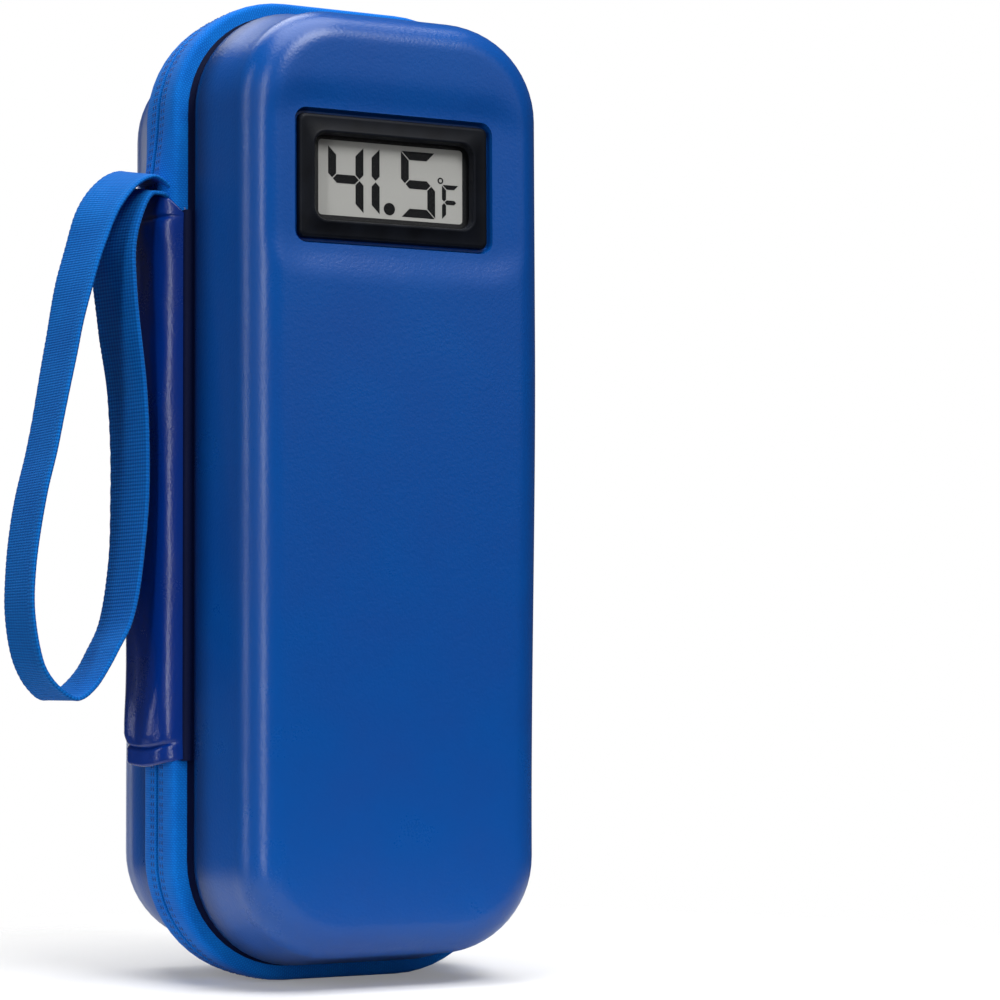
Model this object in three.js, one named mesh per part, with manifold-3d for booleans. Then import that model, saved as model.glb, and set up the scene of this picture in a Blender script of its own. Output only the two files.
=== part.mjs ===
// Hard-shell insulin cooling case: two insulated half shells that fold on a padded spine and close
// with a zipper, with a thermometer built into the front, a gel pack in each half and a wrist strap.
// Millimetres, +Z up. The case stands on its zipper band with the display looking along -Y,
// the spine on the -X side and the zipper slit in the plane Y = 0.
import * as THREE from "three";
import { mergeVertices } from "three/addons/utils/BufferGeometryUtils.js";
import Module from "manifold-3d";

const wasm = await Module();
wasm.setup();

// Case outline, measured at the crown of the zipper band
const CASE_WIDTH = 87;
const CASE_HEIGHT = 232;
const CASE_CORNER = 29;
const CORNER_STEPS = 7;

// Clearance between pieces that are sewn, glued or seated together
const FIT = 0.3;

// Zipper band: two tapes with a coil each, either side of the slit
const BAND_HALF = 11;
const BAND_FLAT = 7;
const SEAM_INSET = 3.5;
const SLIT_GAP = 1.2;
const TAPE_THICK = 1.0;
const COIL_SIZE = 1.5;
const COIL_GAP = 1.0;

// Half shells: moulded foam board under leather cloth, then insulation, then a lining
const FRONT_DEPTH = 42;
const BACK_DEPTH = 39;
const SHELL_WALL = 2.2;
const INSULATION = 5;
const LINING = 0.8;
const WALL_LEAN = 3;
const EDGE_DEPTH = 10;
const EDGE_REACH = 8.5;
const EDGE_STEPS = 4;
const EDGE_SHRINK = 0.6;
const RIM_GAP = 1.6;

// Padded spine on the left side, between the two seams
const SPINE_LENGTH = 136;
const SPINE_CROWN = 6.1;
const SPINE_HOLLOW = 3.5;
const SPINE_EDGE_THICK = 1.2;
const SPINE_STEPS = 16;
const SPINE_SQUARENESS = 5;

// Wrist strap: a webbing loop whose two ends are sewn into the spine's top end
const STRAP_WIDTH = 15;
const STRAP_THICK = 1.4;
const STRAP_TURN = 14;
const STRAP_TURN_REACH = 12;
const STRAP_GAP = 0.2;
const STRAP_STEPS = 56;
const ROOT_STEPS = 10;
const TAB_LENGTH = 10;
const TAB_TOP_BELOW_SPINE = 1;
const ROOT_OUTER_LENGTH = 24;
const ROOT_INNER_LENGTH = 16;
const SWING_GAP = 0.9;

// Sliders and pull tabs on the right side
const SLIDER_LENGTH = 12;
const SLIDER_WIDTH = 8;
const SLIDER_PLATE = 1.5;
const SLIDER_INNER_PLATE = 1.2;
const SLIDER_INNER_MARGIN = 0.5;
const SLIDER_CLEAR = 0.35;
const SLIDER_POST = 0.6;
const SLIDER_POST_LENGTH = 6;
const BRIDGE_HEIGHT = 3.1;
const BRIDGE_WIDTH = 3;
const BRIDGE_LENGTH = 5;
const BRIDGE_BAR = 0.7;
const BRIDGE_FOOT = 1;
const PIN_SIZE = 1;
const PULL_LENGTH = 15;
const PULL_WIDTH = 6.6;
const PULL_ARM = 1.3;
const PULL_THICK = 1;

// Thermometer module in the front shell
const MODULE_X = -1;
const MODULE_FROM_TOP = 47;
const MODULE_Z = CASE_HEIGHT - MODULE_FROM_TOP;
const BEZEL_WIDTH = 48;
const BEZEL_HEIGHT = 28.6;
const BEZEL_CORNER = 1.2;
const BEZEL_BELOW_FACE = 1;
const BEZEL_THICK = 1.8;
const BEZEL_CHAMFER = 0.9;
const MODULE_BODY_LIP = 1;
const MODULE_WALL = 1.2;
const WINDOW_WIDTH = 40;
const WINDOW_HEIGHT = 19.5;
const WINDOW_CORNER = 3;
const LENS_THICK = 1;
const LCD_THICK = 1.6;
const LCD_MARGIN = 0.8;
const CONNECTOR_THICK = 1.2;
const CONNECTOR_WIDTH = 2.5;
const BOARD_THICK = 1;
const BOARD_WIDTH = 36;
const CONTACT_THICK = 0.3;
const CONTACT_SIZE = 8;
const CELL_DIAMETER = 11.6;
const CELL_THICK = 5.4;
const CELL_SPACING = 13;
const CELL_SIDES = 24;
const COVER_THICK = 1.4;
const DOOR_MARGIN = 1;
const STACK_GAP = 0.2;
const BUTTON_X = 16.5;
const BUTTON_DIAMETER = 4.2;
const BUTTON_PROUD = 1.2;
const BUTTON_TRAVEL = 0.8;
const BUTTON_FLANGE = 0.7;
const BUTTON_FLANGE_LIP = 0.6;
const SWITCH_SIZE = 4.5;
const SENSOR_X = -16.5;
const SENSOR_DIAMETER = 3.2;
const SENSOR_PROUD = 1.4;
const SENSOR_STEM = 1.6;
const SCREW_HEAD = 3;
const SCREW_HEAD_THICK = 0.8;
const SCREW_SHANK = 1.4;
const SCREW_LENGTH = 3;
const SCREW_OFFSET_X = 20;
const SCREW_OFFSET_Z = 9;
const BOSS_SIZE = 3.2;
const ROUND_SIDES = 16;

// Recess that the module sits in, and the pan moulded behind it
const RECESS_DEPTH = 3;
const RECESS_GAP = 1.2;
const RECESS_SLOPE = 7;
const RECESS_CORNER = 3;
const PLATE_CORNER_STEPS = 4;
const PAN_RIM = 3;

// Gel packs, pockets and pen loops
const PACK_TO_MODULE = 15.3;
const PACK_WIDTH = 51;
const PACK_THICK = 17;
const PACK_EDGE = 7;
const PACK_WAIST = 1.2;
const PACK_EDGE_STEPS = 4;
const PACK_CORNER_STEPS = 6;
const POCKET_THICK = 0.8;
const POCKET_HEIGHT = 150;
const LOOP_RADIUS = 8.5;
const LOOP_STRAP = 1;
const LOOP_WIDTH = 18;
const LOOP_SPACING = 24;
const LOOP_LOW_Z = 62;
const LOOP_HIGH_Z = 142;
const LOOP_STEPS = 8;

// Finishes
const finish = (color, roughness, metalness = 0) =>
  new THREE.MeshStandardMaterial({ color, roughness, metalness });
const LEATHER = finish(0x124994, 0.5);
const SPINE_LEATHER = finish(0x0f4289, 0.5);
const TAPE_CLOTH = finish(0x1459ab, 0.9);
const WEBBING = finish(0x1162af, 0.9);
const FOAM = finish(0x2b2e33, 0.95);
const LINING_CLOTH = finish(0x8f969e, 0.6);
const NET_CLOTH = finish(0x23262b, 0.9);
const ELASTIC = finish(0x1a1c20, 0.85);
const COIL_NYLON = finish(0x0e4c98, 0.45);
const PLATED_METAL = finish(0xc4c8cc, 0.3, 1);
const BLACK_PLASTIC = finish(0x1b1e24, 0.45);
const CLEAR_PLASTIC = finish(0xe8ecee, 0.08);
const LCD_GLASS = finish(0xa5a5a3, 0.2);
const GREEN_BOARD = finish(0x1f6b3a, 0.5);
const GREY_RUBBER = finish(0x3b3e42, 0.9);
const CELL_STEEL = finish(0xd0d2d4, 0.25, 1);
const GEL_PLASTIC = finish(0x0160d0, 0.3);

const caseGroup = new THREE.Group();

// Adds one named piece to the case, or to a group inside it
function addPiece(name, geometry, material, parent = caseGroup) {
  const piece = new THREE.Mesh(geometry, material);
  piece.name = name;
  parent.add(piece);
  return piece;
}

// Signed volume of an indexed triangle list
function signedVolume(positions, triangles) {
  const a = new THREE.Vector3();
  const b = new THREE.Vector3();
  const c = new THREE.Vector3();
  let sum = 0;
  for (let i = 0; i < triangles.length; i += 3) {
    a.fromArray(positions, 3 * triangles[i]);
    b.fromArray(positions, 3 * triangles[i + 1]);
    c.fromArray(positions, 3 * triangles[i + 2]);
    sum += a.dot(b.cross(c)) / 6;
  }
  return sum;
}

// Skin over a list of rings with equal counts, closed by flat caps at both ends
function skin(rings, capOutline) {
  const count = rings[0].length;
  const positions = rings.flat().flatMap((p) => p.toArray());
  const triangles = [];
  for (let i = 0; i + 1 < rings.length; i += 1) {
    for (let j = 0; j < count; j += 1) {
      const a = i * count + j;
      const b = i * count + ((j + 1) % count);
      triangles.push(a, b, b + count, a, b + count, a + count);
    }
  }
  const last = (rings.length - 1) * count;
  const clockwise = THREE.ShapeUtils.isClockWise(capOutline);
  for (const face of THREE.ShapeUtils.triangulateShape(capOutline, [])) {
    const [a, b, c] = clockwise ? [...face].reverse() : face;
    triangles.push(c, b, a, last + a, last + b, last + c);
  }
  if (signedVolume(positions, triangles) < 0) {
    triangles.reverse();
  }
  const geometry = new THREE.BufferGeometry();
  geometry.setAttribute("position", new THREE.Float32BufferAttribute(positions, 3));
  geometry.setIndex(triangles);
  return geometry;
}

// Closed solids for joining and cutting
function toSolid(geometry) {
  const bare = geometry.index ? geometry.clone() : mergeVertices(geometry.clone());
  bare.deleteAttribute("normal");
  bare.deleteAttribute("uv");
  const merged = mergeVertices(bare, 1e-4);
  const vertProperties = new Float32Array(merged.attributes.position.array);
  const triVerts = new Uint32Array(merged.index.array);
  return new wasm.Manifold(new wasm.Mesh({ numProp: 3, vertProperties, triVerts }));
}

function toGeometry(solid) {
  const { vertProperties, triVerts } = solid.getMesh();
  const geometry = new THREE.BufferGeometry();
  geometry.setAttribute("position", new THREE.BufferAttribute(new Float32Array(vertProperties), 3));
  geometry.setIndex(new THREE.BufferAttribute(new Uint32Array(triVerts), 1));
  return geometry;
}

function join(...geometries) {
  return toGeometry(geometries.map(toSolid).reduce((whole, next) => whole.add(next)));
}

function cut(body, ...tools) {
  return toGeometry(tools.map(toSolid).reduce((whole, tool) => whole.subtract(tool), toSolid(body)));
}

// Box given by its lowest and highest corners
function block(low, high) {
  const size = high.map((value, i) => value - low[i]);
  const middle = high.map((value, i) => (value + low[i]) / 2);
  return new THREE.BoxGeometry(...size).translate(...middle);
}

// Cylinder along Y from one depth to another
function roundBar(diameter, yFrom, yTo, x, z, sides = ROUND_SIDES) {
  const length = yTo - yFrom;
  return new THREE.CylinderGeometry(diameter / 2, diameter / 2, length, sides)
    .translate(x, (yFrom + yTo) / 2, z);
}

// Outline of the case as points with outward normals, from the top-left corner round to the
// bottom-left one
const casePath = [
  [-1, 1, Math.PI],
  [1, 1, Math.PI / 2],
  [1, -1, 0],
  [-1, -1, -Math.PI / 2],
].flatMap(([sideX, sideZ, startAngle]) =>
  Array.from({ length: CORNER_STEPS + 1 }, (_, step) => {
    const angle = startAngle - ((Math.PI / 2) * step) / CORNER_STEPS;
    const normal = new THREE.Vector3(Math.cos(angle), 0, Math.sin(angle));
    const centre = new THREE.Vector3(
      sideX * (CASE_WIDTH / 2 - CASE_CORNER),
      0,
      CASE_HEIGHT / 2 + sideZ * (CASE_HEIGHT / 2 - CASE_CORNER),
    );
    return { point: centre.addScaledVector(normal, CASE_CORNER), normal };
  }),
);

// The case outline drawn in by an inset, at a depth from the slit plane
function caseRing(inset, y) {
  return casePath.map(({ point, normal }) => point.clone().addScaledVector(normal, -inset).setY(y));
}

// Half-shell surface at an offset below the leather: insets and depths from its rim to its floor
function shellProfile(offset, rim, depth) {
  const inset = SEAM_INSET + offset;
  const edgeDepth = EDGE_DEPTH - EDGE_SHRINK * offset;
  const edgeReach = EDGE_REACH - EDGE_SHRINK * offset;
  const floor = depth - offset;
  const profile = [[inset, rim]];
  if (rim < BAND_HALF) {
    profile.push([inset, BAND_HALF]);
  }
  for (let step = 0; step <= EDGE_STEPS; step += 1) {
    const angle = ((Math.PI / 2) * step) / EDGE_STEPS;
    profile.push([
      inset + WALL_LEAN + edgeReach * (1 - Math.cos(angle)),
      floor - edgeDepth * (1 - Math.sin(angle)),
    ]);
  }
  return profile;
}

// One layer of a half shell: an open tray between two offsets, on the front (-1) or back (1) side
function tray(outerOffset, thickness, rim, depth, side) {
  const inner = shellProfile(outerOffset + thickness, rim, depth).reverse();
  const outer = shellProfile(outerOffset, rim, depth);
  const rings = [...inner, ...outer].map(([inset, y]) => caseRing(inset, side * y));
  const capOutline = rings[0].map((p) => new THREE.Vector2(p.x, p.z));
  return skin(rings, capOutline);
}

// Section given as insets and depths, swept round the case from the spine's top to its bottom
const SPINE_TOP = (CASE_HEIGHT + SPINE_LENGTH) / 2;
const SPINE_BOTTOM = SPINE_TOP - SPINE_LENGTH;
const leftward = new THREE.Vector3(-1, 0, 0);
const bandPath = [
  { point: new THREE.Vector3(-CASE_WIDTH / 2, 0, SPINE_TOP + FIT), normal: leftward },
  ...casePath,
  { point: new THREE.Vector3(-CASE_WIDTH / 2, 0, SPINE_BOTTOM - FIT), normal: leftward },
];

function sweepBand(section) {
  const rings = bandPath.map(({ point, normal }) =>
    section.map(([inset, y]) => point.clone().addScaledVector(normal, -inset).setY(y)),
  );
  return skin(rings, section.map(([inset, y]) => new THREE.Vector2(inset, y)));
}

// Flat outline with round corners, skinned between two depths with a chosen outline at each
function roundedRing(width, height, corner, x, y, z, steps = PLATE_CORNER_STEPS) {
  return [[1, 1, 0], [-1, 1, 1], [-1, -1, 2], [1, -1, 3]].flatMap(([sideX, sideZ, quarter]) =>
    Array.from({ length: steps + 1 }, (_, step) => {
      const angle = (Math.PI / 2) * (quarter + step / steps);
      return new THREE.Vector3(
        x + sideX * (width / 2 - corner) + corner * Math.cos(angle),
        y,
        z + sideZ * (height / 2 - corner) + corner * Math.sin(angle),
      );
    }),
  );
}

function roundedPlate(levels, x = MODULE_X, z = MODULE_Z) {
  const rings = levels.map(([y, width, height, corner]) =>
    roundedRing(width, height, corner, x, y, z));
  return skin(rings, rings[0].map((p) => new THREE.Vector2(p.x, p.z)));
}

// Layers of the two halves, as offsets below the leather
const INSULATION_OFFSET = SHELL_WALL + FIT;
const LINER_OFFSET = INSULATION_OFFSET + INSULATION + FIT;
const CAVITY_OFFSET = LINER_OFFSET + LINING;
const FRONT_FLOOR = -(FRONT_DEPTH - CAVITY_OFFSET);
const BACK_FLOOR = BACK_DEPTH - CAVITY_OFFSET;
const CAVITY_INSET = SEAM_INSET + CAVITY_OFFSET;
const PACK_BOTTOM = CAVITY_INSET + WALL_LEAN + FIT;
const PACK_LENGTH = MODULE_Z - BEZEL_HEIGHT / 2 - PACK_TO_MODULE - PACK_BOTTOM;

// Depths of the thermometer's stack, from the bezel's face inwards
const BEZEL_FACE_Y = -(FRONT_DEPTH - BEZEL_BELOW_FACE);
const BEZEL_BACK_Y = BEZEL_FACE_Y + BEZEL_THICK;
const RECESS_FLOOR_Y = -(FRONT_DEPTH - RECESS_DEPTH);
const PAN_BACK_Y = RECESS_FLOOR_Y + SHELL_WALL;
const LENS_Y = BEZEL_BACK_Y + STACK_GAP;
const LCD_Y = LENS_Y + LENS_THICK + STACK_GAP;
const CONNECTOR_Y = LCD_Y + LCD_THICK + STACK_GAP;
const BOARD_Y = CONNECTOR_Y + CONNECTOR_THICK + STACK_GAP;
const BOARD_BACK_Y = BOARD_Y + BOARD_THICK;
const CONTACT_Y = BOARD_BACK_Y + STACK_GAP;
const CELL_Y = CONTACT_Y + CONTACT_THICK + STACK_GAP;
const COVER_Y = CELL_Y + CELL_THICK + STACK_GAP;
const COVER_BACK_Y = COVER_Y + COVER_THICK;
const BODY_WIDTH = BEZEL_WIDTH - 2 * MODULE_BODY_LIP;
const BODY_HEIGHT = BEZEL_HEIGHT - 2 * MODULE_BODY_LIP;
const INSIDE_WIDTH = BODY_WIDTH - 2 * MODULE_WALL;
const INSIDE_HEIGHT = BODY_HEIGHT - 2 * MODULE_WALL;

// Box through the module's place, wider than the module's body by a margin on each side
function moduleBlock(margin, yFrom, yTo) {
  const halfWidth = BODY_WIDTH / 2 + margin;
  const halfHeight = BODY_HEIGHT / 2 + margin;
  return block(
    [MODULE_X - halfWidth, yFrom, MODULE_Z - halfHeight],
    [MODULE_X + halfWidth, yTo, MODULE_Z + halfHeight],
  );
}

// Front and back shells, with the display recess moulded into the front one
function buildShells() {
  const panSize = [BEZEL_WIDTH + 2 * (RECESS_GAP + PAN_RIM), BEZEL_HEIGHT + 2 * (RECESS_GAP + PAN_RIM)];
  const panFront = -(FRONT_DEPTH - SHELL_WALL / 2);
  const pan = roundedPlate([
    [panFront, ...panSize, RECESS_CORNER + PAN_RIM],
    [PAN_BACK_Y, ...panSize, RECESS_CORNER + PAN_RIM],
  ]);
  const floorSize = [BEZEL_WIDTH + 2 * RECESS_GAP, BEZEL_HEIGHT + 2 * RECESS_GAP];
  const mouthSize = floorSize.map((size) => size + 2 * RECESS_SLOPE);
  const recess = roundedPlate([
    [-FRONT_DEPTH - FIT, ...mouthSize, RECESS_CORNER + RECESS_SLOPE],
    [-FRONT_DEPTH, ...mouthSize, RECESS_CORNER + RECESS_SLOPE],
    [BEZEL_FACE_Y, ...floorSize, RECESS_CORNER],
    [RECESS_FLOOR_Y, ...floorSize, RECESS_CORNER],
  ]);
  const hole = moduleBlock(FIT, -FRONT_DEPTH, 0);
  const frontTray = tray(0, SHELL_WALL, BAND_HALF, FRONT_DEPTH, -1);
  addPiece("front_shell", cut(join(frontTray, pan), recess, hole), LEATHER);
  addPiece("back_shell", tray(0, SHELL_WALL, BAND_HALF, BACK_DEPTH, 1), LEATHER);
}

// Insulation and lining of both halves
function buildLining() {
  const rim = RIM_GAP / 2;
  const hole = moduleBlock(FIT, -FRONT_DEPTH, 0);
  const panMargin = MODULE_BODY_LIP + RECESS_GAP + PAN_RIM + FIT;
  const panRoom = moduleBlock(panMargin, -FRONT_DEPTH, PAN_BACK_Y + FIT);
  const frontFoam = tray(INSULATION_OFFSET, INSULATION, rim, FRONT_DEPTH, -1);
  const frontLining = tray(LINER_OFFSET, LINING, rim, FRONT_DEPTH, -1);
  addPiece("front_insulation", cut(frontFoam, panRoom, hole), FOAM);
  addPiece("back_insulation", tray(INSULATION_OFFSET, INSULATION, rim, BACK_DEPTH, 1), FOAM);
  addPiece("front_liner", cut(frontLining, hole), LINING_CLOTH);
  addPiece("back_liner", tray(LINER_OFFSET, LINING, rim, BACK_DEPTH, 1), LINING_CLOTH);
}

// Zipper tapes and their coils: flat on the crown, turned in to the seams
function buildZipper() {
  const slitEdge = SLIT_GAP / 2;
  const seamY = BAND_HALF - FIT;
  const shoulderY = (BAND_FLAT + seamY) / 2;
  const shoulderInset = SEAM_INSET / 4;
  const seamInset = SEAM_INSET - FIT;
  const tapeSection = [
    [0, slitEdge],
    [0, BAND_FLAT],
    [shoulderInset, shoulderY],
    [seamInset, seamY],
    [seamInset + TAPE_THICK, seamY],
    [shoulderInset + TAPE_THICK, shoulderY - TAPE_THICK / 2],
    [TAPE_THICK, BAND_FLAT - TAPE_THICK / 2],
    [TAPE_THICK, slitEdge],
  ];
  const coilInset = TAPE_THICK + FIT;
  const coilY = COIL_GAP / 2;
  const coilSection = [
    [coilInset, coilY],
    [coilInset, coilY + COIL_SIZE],
    [coilInset + COIL_SIZE, coilY + COIL_SIZE],
    [coilInset + COIL_SIZE, coilY],
  ];
  for (const [half, side] of [["front", -1], ["back", 1]]) {
    const mirrored = (section) => section.map(([inset, y]) => [inset, side * y]);
    addPiece(`zipper_tape_${half}`, sweepBand(mirrored(tapeSection)), TAPE_CLOTH);
    addPiece(`zipper_coil_${half}`, sweepBand(mirrored(coilSection)), COIL_NYLON);
  }
}

// Padded spine: a crowned pad from seam to seam, with a pocket in its top end for the strap's tab
const SPINE_HALF = BAND_HALF - FIT;
const SPINE_EDGE_X = -(CASE_WIDTH / 2 - SEAM_INSET) - FIT;
const SPINE_FACE_X = -(CASE_WIDTH / 2 + SPINE_CROWN);
const TAB_TOP = SPINE_TOP - TAB_TOP_BELOW_SPINE;
const TAB_BACK_X = -(CASE_WIDTH / 2) - FIT;
const TAB_THICK = 2 * STRAP_THICK + STRAP_GAP;
const STRAP_ANCHOR_X = TAB_BACK_X - TAB_THICK / 2;

// Block of the tab's size, grown on its sides and bottom by a margin
function tabBlock(margin, top) {
  const half = STRAP_WIDTH / 2 + margin;
  return block(
    [TAB_BACK_X - TAB_THICK - margin, -half, TAB_TOP - TAB_LENGTH - margin],
    [TAB_BACK_X + margin, half, top],
  );
}

function buildSpine() {
  const rise = SPINE_EDGE_X - SPINE_FACE_X;
  const outer = [];
  const inner = [];
  for (let step = 0; step <= SPINE_STEPS; step += 1) {
    const across = -Math.cos((Math.PI * step) / SPINE_STEPS);
    const fullness = 1 - Math.abs(across) ** SPINE_SQUARENESS;
    outer.push([SPINE_EDGE_X - rise * fullness, across * SPINE_HALF]);
    inner.unshift([SPINE_EDGE_X + SPINE_EDGE_THICK - SPINE_HOLLOW * fullness, across * SPINE_HALF]);
  }
  const section = [...outer, ...inner];
  const rings = [SPINE_BOTTOM, SPINE_TOP].map((z) => section.map(([x, y]) => new THREE.Vector3(x, y, z)));
  const pad = skin(rings, section.map(([x, y]) => new THREE.Vector2(x, y)));
  addPiece("spine_panel", cut(pad, tabBlock(FIT, SPINE_TOP + 1)), SPINE_LEATHER);
}

// Wrist strap: route as distance out from the tab's middle and height above the tab's top, from the
// end nearest the case over the outer strand, round the bottom and back up the inner strand
const STRAP_ROUTE = [
  [-0.8, -8], [-0.8, 0], [-0.6, 2.6], [0.6, 5], [3.2, 6.1], [6.5, 5], [9.1, 3.4], [11.9, 0.7], [15, -3.9],
  [18, -11.5], [20.6, -19.2], [22.9, -28], [25.9, -42], [29.9, -60.4], [32.4, -69.6], [34.2, -78.7],
  [35.3, -87.7], [35.5, -96.6], [34, -105.6], [32.3, -110], [29.1, -114], [24.6, -116.6], [20, -114.3],
  [16, -110.1], [13.1, -105.6], [10, -99.3], [7.8, -85.8], [7, -65.4], [7.5, -45.1], [9, -31.5],
  [10, -20.5], [10.5, -14], [10.1, -9.5], [9, -4.9], [7.7, -1], [6.3, 1.7], [4.6, 3.1], [2.8, 3.4],
  [1.3, 2.5], [0.8, 0.6], [0.8, -8],
];

// Webbing along the strap's route between two distances from its first end. The loop's plane is turned
// to the front, and the webbing turns into that plane within a short reach of the tab.
function webbing(route, from, to, steps) {
  const length = route.getLength();
  const upright = new THREE.Vector3(0, 0, 1);
  const plane = THREE.MathUtils.degToRad(STRAP_TURN);
  const section = [[1, 1], [1, -1], [-1, -1], [-1, 1]];
  const rings = Array.from({ length: steps + 1 }, (_, step) => {
    const along = (from + ((to - from) * step) / steps) / length;
    const point = route.getPointAt(along);
    const turn = plane * THREE.MathUtils.clamp(-point.x / STRAP_TURN_REACH, 0, 1);
    const across = new THREE.Vector3(0, 1, 0).applyAxisAngle(upright, turn);
    const face = route.getTangentAt(along).applyAxisAngle(upright, plane).cross(across).normalize();
    const centre = point.applyAxisAngle(upright, plane);
    return section.map(([out, side]) => centre.clone()
      .addScaledVector(face, (out * STRAP_THICK) / 2)
      .addScaledVector(across, (side * STRAP_WIDTH) / 2));
  });
  return skin(rings, section.map(([out, side]) => new THREE.Vector2(out, side)))
    .translate(STRAP_ANCHOR_X, 0, TAB_TOP);
}

// The sewn tab with the two arched ends is one piece, and the hanging loop swings from it
function buildStrap() {
  const points = STRAP_ROUTE.map(([out, up]) => new THREE.Vector3(-out, 0, up));
  const route = new THREE.CatmullRomCurve3(points);
  const length = route.getLength();
  const outerEnd = webbing(route, 0, ROOT_OUTER_LENGTH, ROOT_STEPS);
  const innerEnd = webbing(route, length - ROOT_INNER_LENGTH, length, ROOT_STEPS);
  addPiece("strap_root", join(tabBlock(0, TAB_TOP), outerEnd, innerEnd), WEBBING);
  const loopFrom = ROOT_OUTER_LENGTH + SWING_GAP;
  const loopTo = length - ROOT_INNER_LENGTH - FIT;
  addPiece("wrist_strap", webbing(route, loopFrom, loopTo, STRAP_STEPS), WEBBING);
}

// Two sliders that meet half way up the right side, each with a hinged pull tab
const SLIDER_FACE_X = CASE_WIDTH / 2 + SLIDER_CLEAR;
const SLIDER_TOP_X = SLIDER_FACE_X + SLIDER_PLATE;
const SLIDER_INNER_X = CASE_WIDTH / 2 - TAPE_THICK - FIT - COIL_SIZE - SLIDER_CLEAR;
const BRIDGE_FROM_MIDDLE = SLIDER_LENGTH + FIT - BRIDGE_FOOT - BRIDGE_LENGTH / 2;
const PIN_X = SLIDER_TOP_X + (BRIDGE_HEIGHT - BRIDGE_BAR) / 2;

function buildSlider(place, sideZ) {
  const middle = CASE_HEIGHT / 2;
  const centreZ = middle + sideZ * (SLIDER_LENGTH / 2 + FIT);
  const bridgeZ = middle + sideZ * BRIDGE_FROM_MIDDLE;
  const plate = (xFrom, xTo, width, length, z) =>
    block([xFrom, -width / 2, z - length / 2], [xTo, width / 2, z + length / 2]);
  const innerFarX = SLIDER_INNER_X - SLIDER_INNER_PLATE;
  const outerPlate = plate(SLIDER_FACE_X, SLIDER_TOP_X, SLIDER_WIDTH, SLIDER_LENGTH, centreZ);
  const innerSize = [SLIDER_WIDTH, SLIDER_LENGTH].map((size) => size - 2 * SLIDER_INNER_MARGIN);
  const innerPlate = plate(innerFarX, SLIDER_INNER_X, ...innerSize, centreZ);
  const post = plate(innerFarX, SLIDER_TOP_X, SLIDER_POST, SLIDER_POST_LENGTH, centreZ);
  const bridgeTop = SLIDER_TOP_X + BRIDGE_HEIGHT;
  const bridge = plate(SLIDER_FACE_X, bridgeTop, BRIDGE_WIDTH, BRIDGE_LENGTH, bridgeZ);
  const windowLength = BRIDGE_LENGTH - 2 * BRIDGE_FOOT;
  const window = plate(SLIDER_TOP_X, bridgeTop - BRIDGE_BAR, SLIDER_WIDTH, windowLength, bridgeZ);
  addPiece(`slider_${place}`, join(cut(bridge, window), outerPlate, post, innerPlate), PLATED_METAL);

  const arms = plate(PIN_X - PULL_THICK / 2, PIN_X + PULL_THICK / 2, PULL_WIDTH, PULL_LENGTH, 0)
    .translate(0, 0, bridgeZ + PIN_SIZE / 2 - PULL_LENGTH / 2);
  const eyeHeight = BRIDGE_LENGTH / 2 + 2 * FIT + PIN_SIZE / 2;
  const eyeTop = bridgeZ - PIN_SIZE / 2;
  const eye = block(
    [PIN_X - PULL_THICK, -(PULL_WIDTH / 2 - PULL_ARM), eyeTop - eyeHeight],
    [PIN_X + PULL_THICK, PULL_WIDTH / 2 - PULL_ARM, eyeTop],
  );
  addPiece(`pull_tab_${place}`, cut(arms, eye), PLATED_METAL);
}

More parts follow.
